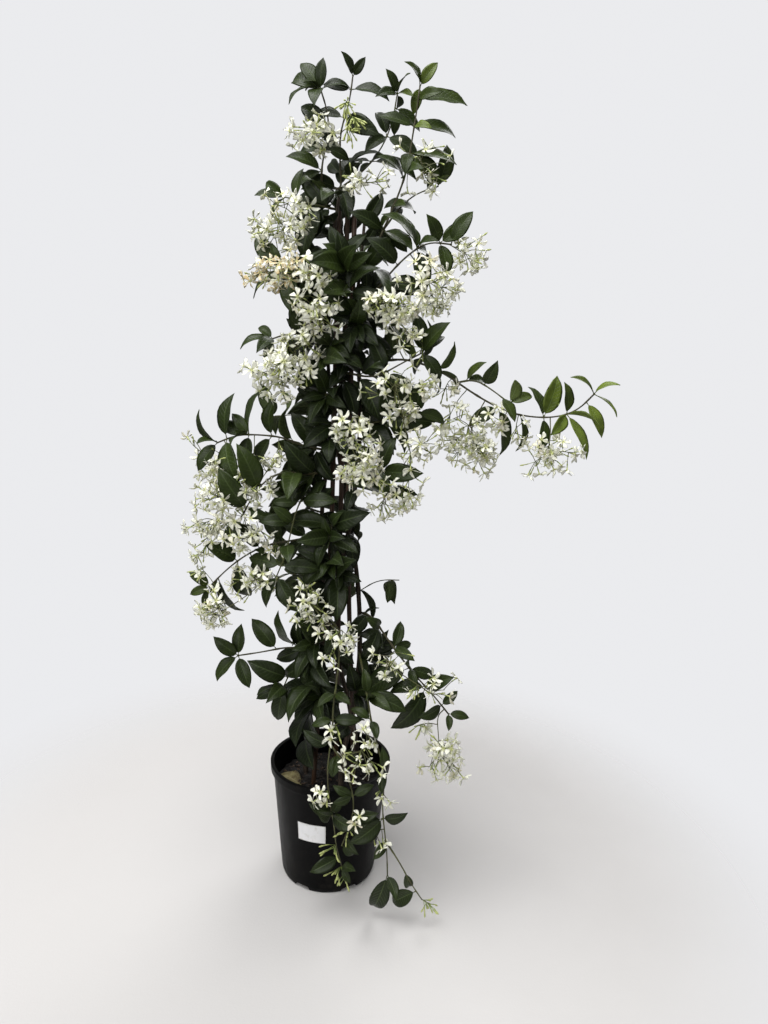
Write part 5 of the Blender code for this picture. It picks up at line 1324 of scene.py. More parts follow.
def more_leaves(crowd, node, joints, wanted, leaves, sizes):
    """Smaller leaves between the main ones, each clear of every other piece."""
    draw = random.Random(f"{node} fine leaves")
    placed = []
    for attempt in range(wanted * TRIES_A_LEAF):
        if len(placed) >= wanted:
            break
        base = draw.choice(joints)
        away = outward(base) * 0.7 + any_direction(draw) * 0.9
        away.z += draw.uniform(-0.4, 0.4)
        aim = base + away.normalized() * (LEAF_LENGTH * draw.uniform(*sizes) / 2)
        leaf = aimed_leaf(draw, base, aim, 1.0, 2)
        leaf["face"] += TOWARDS_VIEW * ease(base.z, *TOP_LIGHT_HEIGHTS)
        if in_bare_side(aim) or not inside(leaf_places(leaf), LEAF_MARGIN):
            continue
        if try_leaf(crowd, node, leaf, leaves):
            placed.append(leaf)
    return placed


def placed_leaves(crowd, node, joints, leaves):
    """A node's leaves at places read from the photograph, each from the nearest joint."""
    for place in [place for name, place in PLACED_LEAVES if name == node]:
        draw = random.Random(f"{node} leaf {place}")
        aim = at_depth(*place)
        base = min(joints, key=lambda joint: (joint - aim).length)
        for attempt in range(LEAF_TRIES):
            near = aim + any_direction(draw) * (SWAY_STEP * attempt)
            leaf = aimed_leaf(draw, base, near, 1.0, 2)
            leaf["face"] += TOWARDS_VIEW
            if inside(leaf_places(leaf), BOX_MARGIN) and try_leaf(crowd, node, leaf, leaves):
                break


def side_stalk(crowd, node, foot, end, draw):
    """A thin stalk from its foot to its end, swayed until it crosses nothing, or None."""
    for attempt in range(SIDE_TRIES):
        sway = any_direction(draw) * (SWAY_STEP * attempt)
        bend = foot.lerp(end, 0.5) + Vector((0, 0, 0.1 * (end - foot).length)) + sway
        line = smooth([foot, bend, end + sway], SIDE_STEP)
        places = []
        for point in line:
            places += [point + Vector((SIDE_HALF, 0, 0)), point + Vector((-SIDE_HALF, 0, SIDE_HALF))]
        faces = [(k, k + 1, k + 3, k + 2) for k in range(0, len(places) - 2, 2)]
        if crowd.is_clear(node, places, faces) and inside(places):
            crowd.add(node, places, faces)
            return line
    return None


def side_stalks(crowd, spray, middle, draw):
    """Thin side stalks that leave a spray's stalk in a bunch, each clear of every other piece."""
    points = spray["stalk"]["points"]
    centre = chain_distance(points, middle)
    made = []
    for attempt in range(SIDE_STALKS * 3):
        if len(made) >= SIDE_STALKS:
            break
        foot, ahead = on_chain(points, max(SINK, centre + BUNCH_SPAN * draw.uniform(-1.3, 0.5)))
        away = (any_direction(draw) + outward(middle) * 0.5 + Vector((0, -0.35, -0.1))).normalized()
        away = (away - ahead * away.dot(ahead) * 0.5).normalized()
        end = foot + away * draw.uniform(*SIDE_REACH) - Vector((0, 0, draw.uniform(0.0, 0.006)))
        line = side_stalk(crowd, spray["name"], foot, end, draw)
        if line:
            made.append(line)
    return made


def side_on(away):
    """A direction turned more sideways than outward, as the flowers of a full bunch are."""
    return Vector((away.x, away.y * 0.6, away.z))


def line_length(line):
    """The length of a line of points."""
    return sum((b - a).length for a, b in zip(line, line[1:]))


def try_flower(crowd, node, foot, axis, draw, taken):
    """One more flower from a foot towards an axis, clear of every other piece, or None."""
    flower = {"foot": foot, "axis": axis.normalized(), "spin": draw.uniform(0, math.tau),
              "reach": draw.uniform(*ADDED_REACH), "size": draw.uniform(*ADDED_SIZE),
              "form": draw.randrange(3)}
    faces = FLOWER_TEMPLATES[flower["form"]][1]
    tree = BVHTree.FromPolygons(petal_places(flower), faces)
    if not inside(petal_places(flower), BOX_MARGIN) or any(tree.overlap(other) for other in taken):
        return None
    if not crowd.is_clear(node, flower_places(flower), faces):
        return None
    taken.append(tree)
    crowd.add(node, flower_places(flower), faces)
    return flower


def try_bud(foot, axis, draw):
    """One bud from a foot towards an axis, or None where it would leave the box or lie in the pot."""
    bud = (foot, axis.normalized(), draw.uniform(*BUD_REACH))
    places = [foot + bud[1] * (bud[2] * share) for share in (0.5, 1.0)]
    return bud if inside(places, BOX_MARGIN) and clear_of_pot(places) else None


def more_flowers(crowd, spray, share):
    """More flowers and buds in each bunch, on side stalks and on the spray's own."""
    node = spray["name"]
    points = spray["stalk"]["points"]
    taken = []
    for flower in spray["flowers"]:
        faces = FLOWER_TEMPLATES[flower["form"]][1]
        taken.append(BVHTree.FromPolygons(petal_places(flower), faces))
    extra = {"flowers": [], "buds": [], "stalks": []}
    for number, (middle, count) in enumerate(zip(spray["middles"], spray["counts"])):
        draw = random.Random(f"{node} fine flowers {number}")
        centre = chain_distance(points, middle)
        sides = side_stalks(crowd, spray, middle, draw)
        extra["stalks"] += sides
        wanted = round(count * share * FLOWER_SHARES.get(node, 1.0))
        for attempt in range(wanted * TRIES_A_FLOWER):
            if wanted <= 0:
                break
            if sides and draw.random() < SIDE_SHARE:
                foot, along = on_chain(draw.choice(sides), draw.uniform(0.55, 1.0) * SIDE_REACH[1])
                axis = side_on(any_direction(draw)) * 0.9 + along * 0.6 + FLOWER_HANG
            else:
                foot, along = on_chain(points, max(SINK, centre + BUNCH_SPAN * draw.uniform(-1.0, 0.6)))
                axis = side_on(any_direction(draw)) + outward(middle) * 0.3 + FLOWER_HANG
            flower = try_flower(crowd, node, foot, axis, draw, taken)
            if flower:
                extra["flowers"].append(flower)
                wanted -= 1
        for attempt in range(round(count * BUDS_A_FLOWER)):
            line = draw.choice(sides) if sides and draw.random() < 0.6 else points
            place = draw.uniform(0.5, 1.0) * SIDE_REACH[1]
            if line is points:
                place = max(SINK, centre + BUNCH_SPAN * draw.uniform(-1.1, 0.9))
            foot, along = on_chain(line, place)
            bud = try_bud(foot, any_direction(draw) + along * 0.6 + Vector((0, 0, 0.1)), draw)
            if bud:
                extra["buds"].append(bud)
    return extra


def add_bunch(crowd, node, lines, place, flowers, buds):
    """One more bunch on a thin stalk of its own, which leaves the nearest stem of its node."""
    draw = random.Random(f"{node} bunch {place}")
    end = at_depth(*place)
    line = side_stalk(crowd, node, nearest_of(lines, end), end, draw)
    if line is None:
        return {"flowers": [], "buds": [], "stalks": []}
    extra = {"flowers": [], "buds": [], "stalks": [line]}
    length = line_length(line)
    taken = []
    for attempt in range(TRIES_A_BUNCH_FLOWER * flowers):
        if len(extra["flowers"]) >= flowers:
            break
        foot, along = on_chain(line, max(SINK, length - BUNCH_END * draw.random()))
        axis = side_on(any_direction(draw)) + along * 0.5 + outward(end) * 0.3 + FLOWER_HANG
        flower = try_flower(crowd, node, foot, axis, draw, taken)
        if flower:
            extra["flowers"].append(flower)
    for attempt in range(buds):
        foot, along = on_chain(line, max(SINK, length - BUNCH_END * draw.random()))
        bud = try_bud(foot, any_direction(draw) * 0.7 + along * 0.5 + Vector((0, -0.1, -0.5)), draw)
        if bud:
            extra["buds"].append(bud)
    return extra


class Paint:
    """A node material built step by step round one Principled shader."""

    def __init__(self, name, roughness, **settings):
        self.material = bpy.data.materials.new(name)
        self.material.use_nodes = True
        self.tree = self.material.node_tree
        self.shader = self.tree.nodes["Principled BSDF"]
        self.shader.inputs["Roughness"].default_value = roughness
        for key, value in settings.items():
            self.shader.inputs[key.replace("_", " ")].default_value = value

    def feed(self, value, socket):
        """Link an output to a socket, or set the socket's value."""
        if isinstance(value, bpy.types.NodeSocket):
            self.tree.links.new(value, socket)
        else:
            socket.default_value = value

    def add(self, kind, inputs, **settings):
        """Add a node, set it and feed its inputs."""
        node = self.tree.nodes.new("ShaderNode" + kind)
        for key, value in settings.items():
            setattr(node, key, value)
        for key, value in inputs.items():
            self.feed(value, node.inputs[key])
        return node

    def place(self, stretch=(1, 1, 1)):
        """The object's own coordinates, in metres, stretched along its axes."""
        place = self.add("TexCoord", {}).outputs["Object"]
        return self.add("Mapping", {"Vector": place, "Scale": stretch}).outputs[0]

    def marks(self):
        """The three pattern marks that a piece's points carry."""
        spot = self.add("Attribute", {}, attribute_name="spot").outputs["Vector"]
        return self.add("SeparateXYZ", {0: spot}).outputs

    def joined(self, x, y, z):
        return self.add("CombineXYZ", {0: x, 1: y, 2: z}).outputs[0]

    def noise(self, scale, detail=3.0, place=None, rough=0.55):
        place = self.place() if place is None else place
        inputs = {"Vector": place, "Scale": scale, "Detail": detail, "Roughness": rough}
        return self.add("TexNoise", inputs).outputs[0]

    def cells(self, scale, place=None):
        place = self.place() if place is None else place
        return self.add("TexVoronoi", {"Vector": place, "Scale": scale}).outputs

    def math(self, operation, one, two=0.0):
        return self.add("Math", {0: one, 1: two}, operation=operation).outputs[0]

    def times(self, one, two):
        return self.math("MULTIPLY", one, two)

    def plus(self, one, two):
        return self.math("ADD", one, two)

    def span(self, value, low, high, to_low=0.0, to_high=1.0):
        """A value carried from one span to another, smoothly and kept inside it."""
        inputs = {0: value, 1: low, 2: high, 3: to_low, 4: to_high}
        return self.add("MapRange", inputs, interpolation_type="SMOOTHSTEP").outputs[0]

    def mix(self, share, one, two):
        node = self.tree.nodes.new("ShaderNodeMix")
        node.data_type = "RGBA"
        self.feed(share, node.inputs[0])
        for value, socket in ((one, node.inputs[6]), (two, node.inputs[7])):
            self.feed(value if isinstance(value, bpy.types.NodeSocket) else (*value, 1.0), socket)
        return node.outputs[2]

    def finish(self, colour, roughness, relief, depth):
        """Feed the colour, the roughness and relief of a depth in metres, and give the material."""
        self.feed(colour, self.shader.inputs["Base Color"])
        self.feed(roughness, self.shader.inputs["Roughness"])
        inputs = {"Height": relief, "Distance": depth, "Strength": 1.0}
        self.feed(self.add("Bump", inputs).outputs[0], self.shader.inputs["Normal"])
        return self.material


def leaf_veins(paint, t, across):
    """The masks of a leaf's midrib and of its side veins."""
    away = paint.math("ABSOLUTE", across)
    rib = paint.span(away, 0.03, 0.10, 1.0, 0.0)
    rib = paint.times(rib, paint.span(t, 0.85, 1.0, 1.0, 0.0))
    slant = paint.times(paint.math("POWER", away, 1.2), -2.1)
    side = paint.times(paint.math("GREATER_THAN", across, 0.0), 0.4)
    row = paint.plus(paint.plus(paint.times(t, 11.0), slant), side)
    near = paint.math("ABSOLUTE", paint.math("SUBTRACT", paint.math("FRACT", row), 0.5))
    vein = paint.span(near, 0.03, 0.13, 1.0, 0.0)
    return rib, paint.times(vein, paint.span(away, 0.6, 0.95, 1.0, 0.0))


def leaf_paint(name, colours, vein_colour, roughness, groove):
    """A leaf's face: colours from dark to light by tone, which holds the leaf's age and also painted light
    and shade; veins, blotches and relief.
    """
    paint = Paint(name, roughness[0], Specular_IOR_Level=LEAF_GLOSS)
    t, across, tone = paint.marks()
    rib, vein = leaf_veins(paint, t, across)
    # The tone picks the colour: partly the leaf's age, partly painted light and shade by place.
    green = paint.mix(paint.span(tone, 0.0, 0.55), colours[0], colours[1])
    green = paint.mix(paint.span(tone, 0.55, 1.0), green, colours[2])
    patches = paint.noise(75.0, 4.0)
    green = paint.mix(paint.times(paint.span(patches, 0.35, 0.7), 0.45), green, colours[0])
    fine = paint.noise(900.0, 2.0)
    green = paint.mix(paint.times(fine, 0.12), green, vein_colour)
    green = paint.mix(paint.times(vein, 0.10), green, vein_colour)
    green = paint.mix(paint.times(rib, 0.35), green, vein_colour)
    stalk = paint.span(t, 0.03, 0.12, 1.0, 0.0)
    green = paint.mix(paint.times(stalk, 0.7), green, PETIOLE_GREEN)
    relief = paint.plus(paint.times(vein, groove), paint.times(fine, 0.25))
    relief = paint.plus(relief, paint.times(rib, groove))
    return paint.finish(green, paint.span(patches, 0.3, 0.75, roughness[0], roughness[1]), relief, 0.0004)


def shoot_paint(name, young, old, spots):
    """Thin bark that is green where young, with pale pores and lengthwise lines."""
    paint = Paint(name, 0.6)
    length, turn, tone = paint.marks()
    lines = paint.noise(1.0, 4.0, paint.joined(paint.times(length, 60.0), paint.times(turn, 7.0), tone))
    body = paint.mix(paint.span(tone, 0.0, 1.0), old, young)
    body = paint.mix(paint.span(lines, 0.35, 0.7), body, old)
    pores = paint.cells(520.0)[0]
    body = paint.mix(paint.span(pores, 0.1, 0.22, 0.5, 0.0), body, spots)
    return paint.finish(body, paint.span(lines, 0.3, 0.7, 0.45, 0.7), lines, 0.0003)


def petal_paint(name, tip, middle, aged):
    """A petal: green-yellow at its root, cream further out, with fine lines and browned patches when old."""
    paint = Paint(name, 0.55, Sheen_Weight=0.15)
    s, across, tone = paint.marks()
    lines = paint.noise(1.0, 2.0, paint.joined(paint.times(s, 2.0), paint.times(across, 9.0), tone))
    body = paint.mix(paint.span(s, 0.02, 0.5), middle, tip)
    body = paint.mix(paint.times(paint.span(lines, 0.4, 0.7), 0.25), body, middle)
    old = paint.times(paint.span(tone, 0.55, 1.0), paint.span(paint.noise(260.0), 0.35, 0.6))
    body = paint.mix(old, body, aged)
    return paint.finish(body, paint.span(lines, 0.3, 0.7, 0.45, 0.65), lines, 0.0002)


def tube_paint(name, foot, top, reach):
    """A flower's tube or a bud: its colour runs from foot to top, with soft mottling."""
    paint = Paint(name, 0.5)
    length, turn, tone = paint.marks()
    mottle = paint.noise(420.0)
    body = paint.mix(paint.span(length, *reach), foot, top)
    body = paint.mix(paint.times(paint.span(mottle, 0.4, 0.7), 0.4), body, foot)
    return paint.finish(body, paint.span(mottle, 0.3, 0.7, 0.4, 0.6), mottle, 0.0002)


def pot_paint():
    """Black moulded plastic: fine grain, faint lengthwise scuffs and pale dust near the foot and rim."""
    paint = Paint("pot_plastic", 0.4, Specular_IOR_Level=0.07)
    grain = paint.noise(1400.0, 2.0)
    scuff = paint.noise(55.0, 5.0, paint.place((1.0, 1.0, 0.16)), 0.7)
    dust = paint.noise(34.0, 6.0, None, 0.68)
    height = paint.add("SeparateXYZ", {0: paint.place()}).outputs[2]
    low = paint.span(height, 0.0, 0.05, 0.55, 0.0)
    high = paint.span(height, 0.150, POT_HEIGHT, 0.0, 0.35)
    settled = paint.times(paint.plus(paint.plus(low, high), 0.08), paint.span(dust, 0.45, 0.75))
    body = paint.mix(paint.span(scuff, 0.5, 0.8), *POT_BLACKS)
    body = paint.mix(settled, body, POT_DUST)
    dull = paint.plus(paint.span(scuff, 0.3, 0.8, 0.30, 0.52), paint.times(settled, 0.5))
    rings = paint.math("SINE", paint.times(height, 1900.0))
    relief = paint.plus(paint.times(grain, 0.5), paint.times(rings, 0.05))
    return paint.finish(body, dull, paint.plus(relief, paint.times(scuff, 0.5)), 0.0004)


def soil_paint():
    """Dark peaty mix: crumbs of several browns with fibres and pale grains."""
    paint = Paint("potting_mix", 0.95)
    crumbs = paint.cells(420.0)
    patch = paint.noise(90.0, 6.0, None, 0.7)
    body = paint.mix(paint.span(patch, 0.3, 0.7), *SOIL_BROWNS)
    body = paint.mix(paint.times(crumbs[1], 0.3), body, SOIL_CRUMB)
    grains = paint.cells(650.0, paint.place((1.0, 1.3, 1.0)))[0]
    body = paint.mix(paint.span(grains, 0.02, 0.10, 0.5, 0.0), body, SOIL_GRAIN)
    return paint.finish(body, paint.span(patch, 0.3, 0.7, 0.85, 1.0), paint.plus(crumbs[0], patch), 0.0015)


def chip_paint():
    """Bits of bark and fibre on the mix."""
    paint = Paint("bark_chip", 0.9)
    grain = paint.noise(300.0, 5.0, paint.place((1.0, 4.0, 2.0)), 0.7)
    tone = paint.marks()[2]
    body = paint.mix(tone, *CHIP_BROWNS)
    body = paint.mix(paint.span(grain, 0.35, 0.7, 0.6, 0.0), body, CHIP_GRAIN)
    return paint.finish(body, paint.span(grain, 0.3, 0.7, 0.75, 0.95), grain, 0.0008)


def cane_paint():
    """Weathered bamboo: lengthwise fibres, dark rings at its joints and stains, and painted shade in its
    hollow top.
    """
    paint = Paint("bamboo", 0.5)
    length, turn, ring = paint.marks()
    along = paint.joined(paint.times(length, 5.0), paint.times(turn, 26.0), 0.0)
    fibre = paint.noise(1.0, 4.0, along, 0.6)
    stain = paint.noise(38.0, 5.0, paint.place((1.0, 1.0, 0.3)), 0.65)
    body = paint.mix(paint.span(fibre, 0.3, 0.7), *CANE_BROWNS)
    body = paint.mix(paint.span(stain, 0.45, 0.75, 0.0, 0.75), body, CANE_STAIN)
    # Dark rings at the joints; the same colour is painted shade in the hollow top.
    body = paint.mix(paint.times(ring, 0.8), body, CANE_RING_AND_HOLLOW_SHADE)
    return paint.finish(body, paint.span(stain, 0.3, 0.7, 0.38, 0.7), paint.plus(fibre, stain), 0.0004)


def bark_paint():
    """Grey-brown woody bark: long cracks, pores and a green-grey bloom."""
    paint = Paint("woody_bark", 0.85)
    length, turn, tone = paint.marks()
    along = paint.joined(paint.times(length, 55.0), paint.times(turn, 9.0), 0.0)
    cracks = paint.noise(1.0, 6.0, along, 0.7)
    bloom = paint.noise(70.0, 4.0)
    body = paint.mix(paint.span(cracks, 0.35, 0.65), *BARK_BROWNS)
    body = paint.mix(paint.span(bloom, 0.5, 0.75, 0.0, 0.5), body, BARK_BLOOM)
    pores = paint.cells(430.0)[0]
    body = paint.mix(paint.span(pores, 0.08, 0.2, 0.5, 0.0), body, BARK_PORES)
    return paint.finish(body, paint.span(cracks, 0.3, 0.7, 0.95, 0.7),
                        paint.math("SUBTRACT", cracks, paint.times(pores, 0.1)), 0.0009)


def plastic_paint(name, dark, light, roughness):
    """Smooth plastic with faint mottling, fine grain and dulled patches."""
    paint = Paint(name, roughness)
    wear = paint.noise(130.0, 4.0)
    grain = paint.noise(1800.0, 2.0)
    body = paint.mix(paint.span(wear, 0.4, 0.75), dark, light)
    dull = paint.span(wear, 0.3, 0.75, roughness - 0.08, roughness + 0.18)
    return paint.finish(body, dull, paint.plus(paint.times(grain, 0.4), wear), 0.0003)


def paper_paint():
    """White coated label paper: faint fibres, handling marks and dust at its edges."""
    paint = Paint("label_paper", 0.5)
    across, up, edge = paint.marks()
    fibre = paint.noise(1500.0, 3.0, paint.place((1.0, 1.0, 0.4)))
    marks = paint.noise(95.0, 5.0, None, 0.65)
    body = paint.mix(paint.span(marks, 0.5, 0.75), *PAPER_WHITES)
    body = paint.mix(paint.times(paint.span(edge, 0.85, 1.0), 0.4), body, PAPER_DUST)
    return paint.finish(body, paint.span(marks, 0.35, 0.7, 0.4, 0.62),
                        paint.plus(paint.times(fibre, 0.3), marks), 0.0003)


def dry_paint():
    """A dried leaf: straw and brown patches with paler veins."""
    paint = Paint("dry_leaf", 0.7)
    t, across, tone = paint.marks()
    rib, vein = leaf_veins(paint, t, across)
    patch = paint.noise(110.0, 5.0, None, 0.65)
    body = paint.mix(paint.span(patch, 0.35, 0.7), *DRY_BROWNS)
    body = paint.mix(paint.times(vein, 0.3), body, DRY_VEIN)
    body = paint.mix(paint.times(rib, 0.6), body, DRY_RIB)
    return paint.finish(body, paint.span(patch, 0.3, 0.7, 0.6, 0.85),
                        paint.plus(paint.times(vein, 0.5), patch), 0.0006)


def floor_paint():
    """A pale plain floor that melts into the pale surroundings away from the part."""
    paint = Paint("studio_floor", 0.75)
    away = paint.add("VectorMath", {0: paint.place()}, operation="LENGTH").outputs["Value"]
    soft = paint.noise(6.0, 3.0)
    body = paint.mix(paint.times(soft, 0.12), FLOOR_COLOUR, FLOOR_PATCH)
    material = paint.finish(body, paint.span(soft, 0.3, 0.7, 0.65, 0.85), paint.noise(300.0, 3.0), 0.0002)
    clear = paint.add("BsdfTransparent", {}).outputs[0]
    shown = paint.add("MixShader", {0: paint.span(away, *FLOOR_FADE), 1: paint.shader.outputs[0], 2: clear})
    paint.feed(shown.outputs[0], paint.tree.nodes["Material Output"].inputs["Surface"])
    return material


def level_ring(shape, radius, sides, level):
    """A ring round Z at a radius. level gives the height at an x and y."""
    places = [Vector((radius * c, radius * s, level(radius * c, radius * s))) for c, s in around(sides)]
    return shape.ring(places, [NO_MARK] * sides)


def turned_band(shape, middle, profile):
    """A closed profile turned round an upright line through a middle."""
    rings = []
    for c, s in around(TIE_FINE_SIDES):
        places = [middle + Vector((r * c, r * s, h)) for r, h in profile]
        rings.append(shape.ring(places, [NO_MARK] * len(profile)))
    shape.skin(rings + rings[:1], [0] * len(profile))


def band_profile(inner, outer, half, radii):
    """The section of a band with rounded edges, from its inner face round to the same place."""
    corner_points = [(inner, 0.0), (inner, half), (outer, half), (outer, -half), (inner, -half), (inner, 0.0)]
    return rounded_profile(corner_points, radii, 3)[:-1]


def rounded(start, corner, end, radius, steps=5):
    """A profile's corner rounded to a radius."""
    one = (Vector(start) - Vector(corner)).normalized()
    two = (Vector(end) - Vector(corner)).normalized()
    first = Vector(corner) + one * radius
    last = Vector(corner) + two * radius
    curve = []
    for k in range(steps + 1):
        t = k / steps
        curve.append(first * (1 - t) ** 2 + Vector(corner) * (2 * t * (1 - t)) + last * t * t)
    return [tuple(p) for p in curve]


def rounded_profile(corners_list, radii, steps=5):
    """A profile whose inner corners are rounded to their radii."""
    profile = [corners_list[0]]
    for start, corner, end, radius in zip(corners_list, corners_list[1:], corners_list[2:], radii):
        profile += rounded(start, corner, end, radius, steps) if radius else [corner]
    return profile + [corners_list[-1]]


def fine_slot(index):
    """A cutter for one drain slot: a round-topped opening through the foot of the wall."""
    turn = math.tau * (index + 0.5) / DRAIN_SLOTS - math.pi / 2
    shape = bmesh.new()
    outline = []
    for k in range(SLOT_STEPS + 1):
        bend = math.pi * k / SLOT_STEPS
        outline.append((DRAIN_WIDTH / 2 * math.cos(bend), DRAIN_HEIGHT * math.sin(bend) ** 0.7))
    outline += [(-DRAIN_WIDTH / 2, -DRAIN_HEIGHT), (DRAIN_WIDTH / 2, -DRAIN_HEIGHT)]
    sides = []
    for depth in (DRAIN_DEPTH / 2, -DRAIN_DEPTH / 2):
        sides.append([shape.verts.new((POT_BASE_RADIUS - DRAIN_INSET + depth, y, z)) for y, z in outline])
    count = len(outline)
    for k in range(count):
        after = (k + 1) % count
        shape.faces.new((sides[0][k], sides[1][k], sides[1][after], sides[0][after]))
    shape.faces.new(sides[0])
    shape.faces.new(reversed(sides[1]))
    bmesh.ops.recalc_face_normals(shape, faces=shape.faces)
    bmesh.ops.rotate(shape, verts=shape.verts, matrix=Matrix.Rotation(turn, 3, "Z"))
    mesh = bpy.data.meshes.new(f"slot_{index}")
    shape.to_mesh(mesh)
    shape.free()
    tool = bpy.data.objects.new(mesh.name, mesh)
    bpy.context.scene.collection.objects.link(tool)
    return tool


def wall_radius(z):
    """The pot's outer radius at a height."""
    return POT_BASE_RADIUS + (POT_RIM_RADIUS - LIP_DEPTH - POT_BASE_RADIUS) * z / POT_HEIGHT


def dress_pot():
    """The pot with a rolled lip, rounded foot and round-topped drain slots."""
    lip_top = POT_HEIGHT - LIP_HEIGHT
    foot_inset, foot_height = POT_FOOT_BEVEL
    edge = POT_EDGE * 0.95
    corner_points = [(0.001, POT_FLOOR), (wall_radius(POT_FLOOR) - POT_WALL, POT_FLOOR),
                     (wall_radius(POT_HEIGHT) - POT_WALL, POT_HEIGHT), (POT_RIM_RADIUS, POT_HEIGHT),
                     (POT_RIM_RADIUS - POT_EDGE / 2, lip_top), (wall_radius(lip_top), lip_top),
                     (wall_radius(foot_height), foot_height), (POT_BASE_RADIUS - foot_inset, 0.0),
                     (0.001, 0.0)]
    profile = rounded_profile(corner_points, (0.002, edge, edge, edge, edge, 0.002, 0.001))
    shape = Shape("pot_moulded", [pot_paint()])
    rings = [level_ring(shape, radius, POT_FINE_SIDES, lambda x, y: z) for radius, z in profile]
    kinds = [0] * POT_FINE_SIDES
    for one, two in zip(rings, rings[1:]):
        shape.loft(two, one, kinds)
    shape.close(rings[0], Vector((0, 0, POT_FLOOR)), NO_MARK, kinds)
    shape.close(rings[-1], Vector((0, 0, 0)), NO_MARK, kinds, start=True)
    pot = shape.piece("pot", "pot", sharp=POT_SHARP)
    tools = [fine_slot(index) for index in range(DRAIN_SLOTS)]
    for tool in tools:
        step = pot.modifiers.new("slot", "BOOLEAN")
        step.operation = "DIFFERENCE"
        step.object = tool
        step.solver = "MANIFOLD"
    made = bpy.data.meshes.new_from_object(pot.evaluated_get(bpy.context.evaluated_depsgraph_get()))
    pot.modifiers.clear()
    pot.data = made
    made.set_sharp_from_angle(angle=math.radians(POT_SHARP))
    for tool in tools:
        bpy.data.objects.remove(tool)


def soil_level(x, y):
    """The soil's height: a low mound with soft ripples."""
    reach = math.hypot(x, y) / POT_RIM_RADIUS
    ripple = math.sin(x * 190 + 1) * math.cos(y * 230) + 0.6 * math.sin((x + y) * 310)
    return SOIL_HEIGHT + SOIL_MOUND * (1 - reach) + SOIL_RIPPLE * ripple * min(1.0, 2.2 - 2 * reach)


def crumb_level(x, y):
    """The fine surface of the mix: the mound with crumbs and clods."""
    place = Vector((x, y, 0.0))
    clods = sum(noise.noise(place * scale) * depth for scale, depth in CLODS)
    return soil_level(x, y) + clods + abs(noise.noise(place * CRUMBS[0])) * CRUMBS[1]


def dress_soil():
    """The mix: crumbs in fine relief, with bits of bark and fibre lying on it."""
    shape = Shape("soil_mix", [soil_paint(), chip_paint()])
    outer = wall_radius(SOIL_HEIGHT) - POT_WALL - SOIL_EDGE_GAP
    reaches = [outer * k / SOIL_FINE_RINGS for k in range(SOIL_FINE_RINGS, 0, -1)]
    rings = [level_ring(shape, reach, SOIL_FINE_SIDES, crumb_level) for reach in reaches]
    bottom = POT_FLOOR + GAP
    low = wall_radius(bottom) - POT_WALL - SOIL_EDGE_GAP
    foot = level_ring(shape, low, SOIL_FINE_SIDES, lambda x, y: bottom)
    kinds = [0] * SOIL_FINE_SIDES
    shape.skin([foot] + rings, kinds)
    shape.close(rings[-1], Vector((0, 0, crumb_level(0, 0))), NO_MARK, kinds)
    shape.close(foot, Vector((0, 0, bottom)), NO_MARK, kinds, start=True)
    draw = random.Random("soil bits")
    for number in range(SOIL_BITS):
        reach = (outer - BIT_FROM_WALL) * math.sqrt(draw.random())
        turn = draw.uniform(0, math.tau)
        x = reach * math.cos(turn)
        y = reach * math.sin(turn)
        size = draw.uniform(*BIT_SIZES)
        lean = Matrix.Rotation(draw.uniform(0, math.tau), 3, "Z")
        lean = lean @ Matrix.Rotation(draw.uniform(-BIT_LEAN, BIT_LEAN), 3, "X")
        middle = Vector((x, y, crumb_level(x, y) + size * BIT_RAISED))
        long = lean @ Vector((size * draw.uniform(*BIT_STRETCH), 0, 0))
        radii = [size * draw.uniform(*share) for share in BIT_RADII]
        sweep(shape, [middle + long * share for share in BIT_LINE], radii, 5, 1, draw.random())
    shape.piece("soil", "potting_mix")


def ring_bulge(distance, spacing, offset):
    """A bamboo joint's swelling and its dark ring, at a distance along the cane."""
    near = abs((distance - offset) % spacing - spacing / 2)
    return math.exp(-(near / JOINT_SWELL) ** 2), math.exp(-(near / JOINT_DARK) ** 2)


def dress_canes():
    """Bamboo canes: joints with a raised ring and a hollow sawn top."""
    finish = cane_paint()
    kinds = [0] * CANE_FINE_SIDES
    for index, name in enumerate(CANE_NAMES):
        corner_points = [round_middle(CANE_ANGLES[index], radius, z) for z, radius in CANE_SPREAD]
        line = smooth(corner_points, CANE_FINE_STEP)
        shape = Shape(name + "_bamboo", [finish])
        rings = []
        distance = 0.0
        for i, (point, (along, side, other)) in enumerate(zip(line, directions(line))):
            if i:
                distance += (point - line[i - 1]).length
            swell, dark = ring_bulge(distance, CANE_JOINT, 0.03 * index)
            radius = CANE_RADIUS * (0.93 - 0.05 * i / len(line) + 0.12 * swell)
            places = []
            for c, s in around(CANE_FINE_SIDES):
                uneven = 1 + 0.03 * noise.noise(Vector((c, s, distance * 30)))
                places.append(point + (side * c + other * s) * radius * uneven)
            marks = [(distance, k / CANE_FINE_SIDES, dark) for k in range(CANE_FINE_SIDES)]
            rings.append(shape.ring(places, marks))
        shape.skin(rings, kinds)
        top = line[-1]
        down = directions(line)[-1][0] * CANE_HOLLOW
        # Painted shade: the rim and the hollow of the sawn top take the dark ring colour at full strength.
        hollow_shade_mark = (distance, 0, 1)
        rim = [top + (shape.points[k] - top) * CANE_BORE for k in rings[-1]]
        mouth = shape.ring(rim, [hollow_shade_mark] * CANE_FINE_SIDES)
        well = shape.ring([p - down for p in rim], [hollow_shade_mark] * CANE_FINE_SIDES)
        shape.skin([rings[-1], mouth, well], kinds)
        shape.close(well, top - down, hollow_shade_mark, kinds)
        shape.close(rings[0], line[0], NO_MARK, kinds, start=True)
        shape.piece(name, "cane", sharp=50)


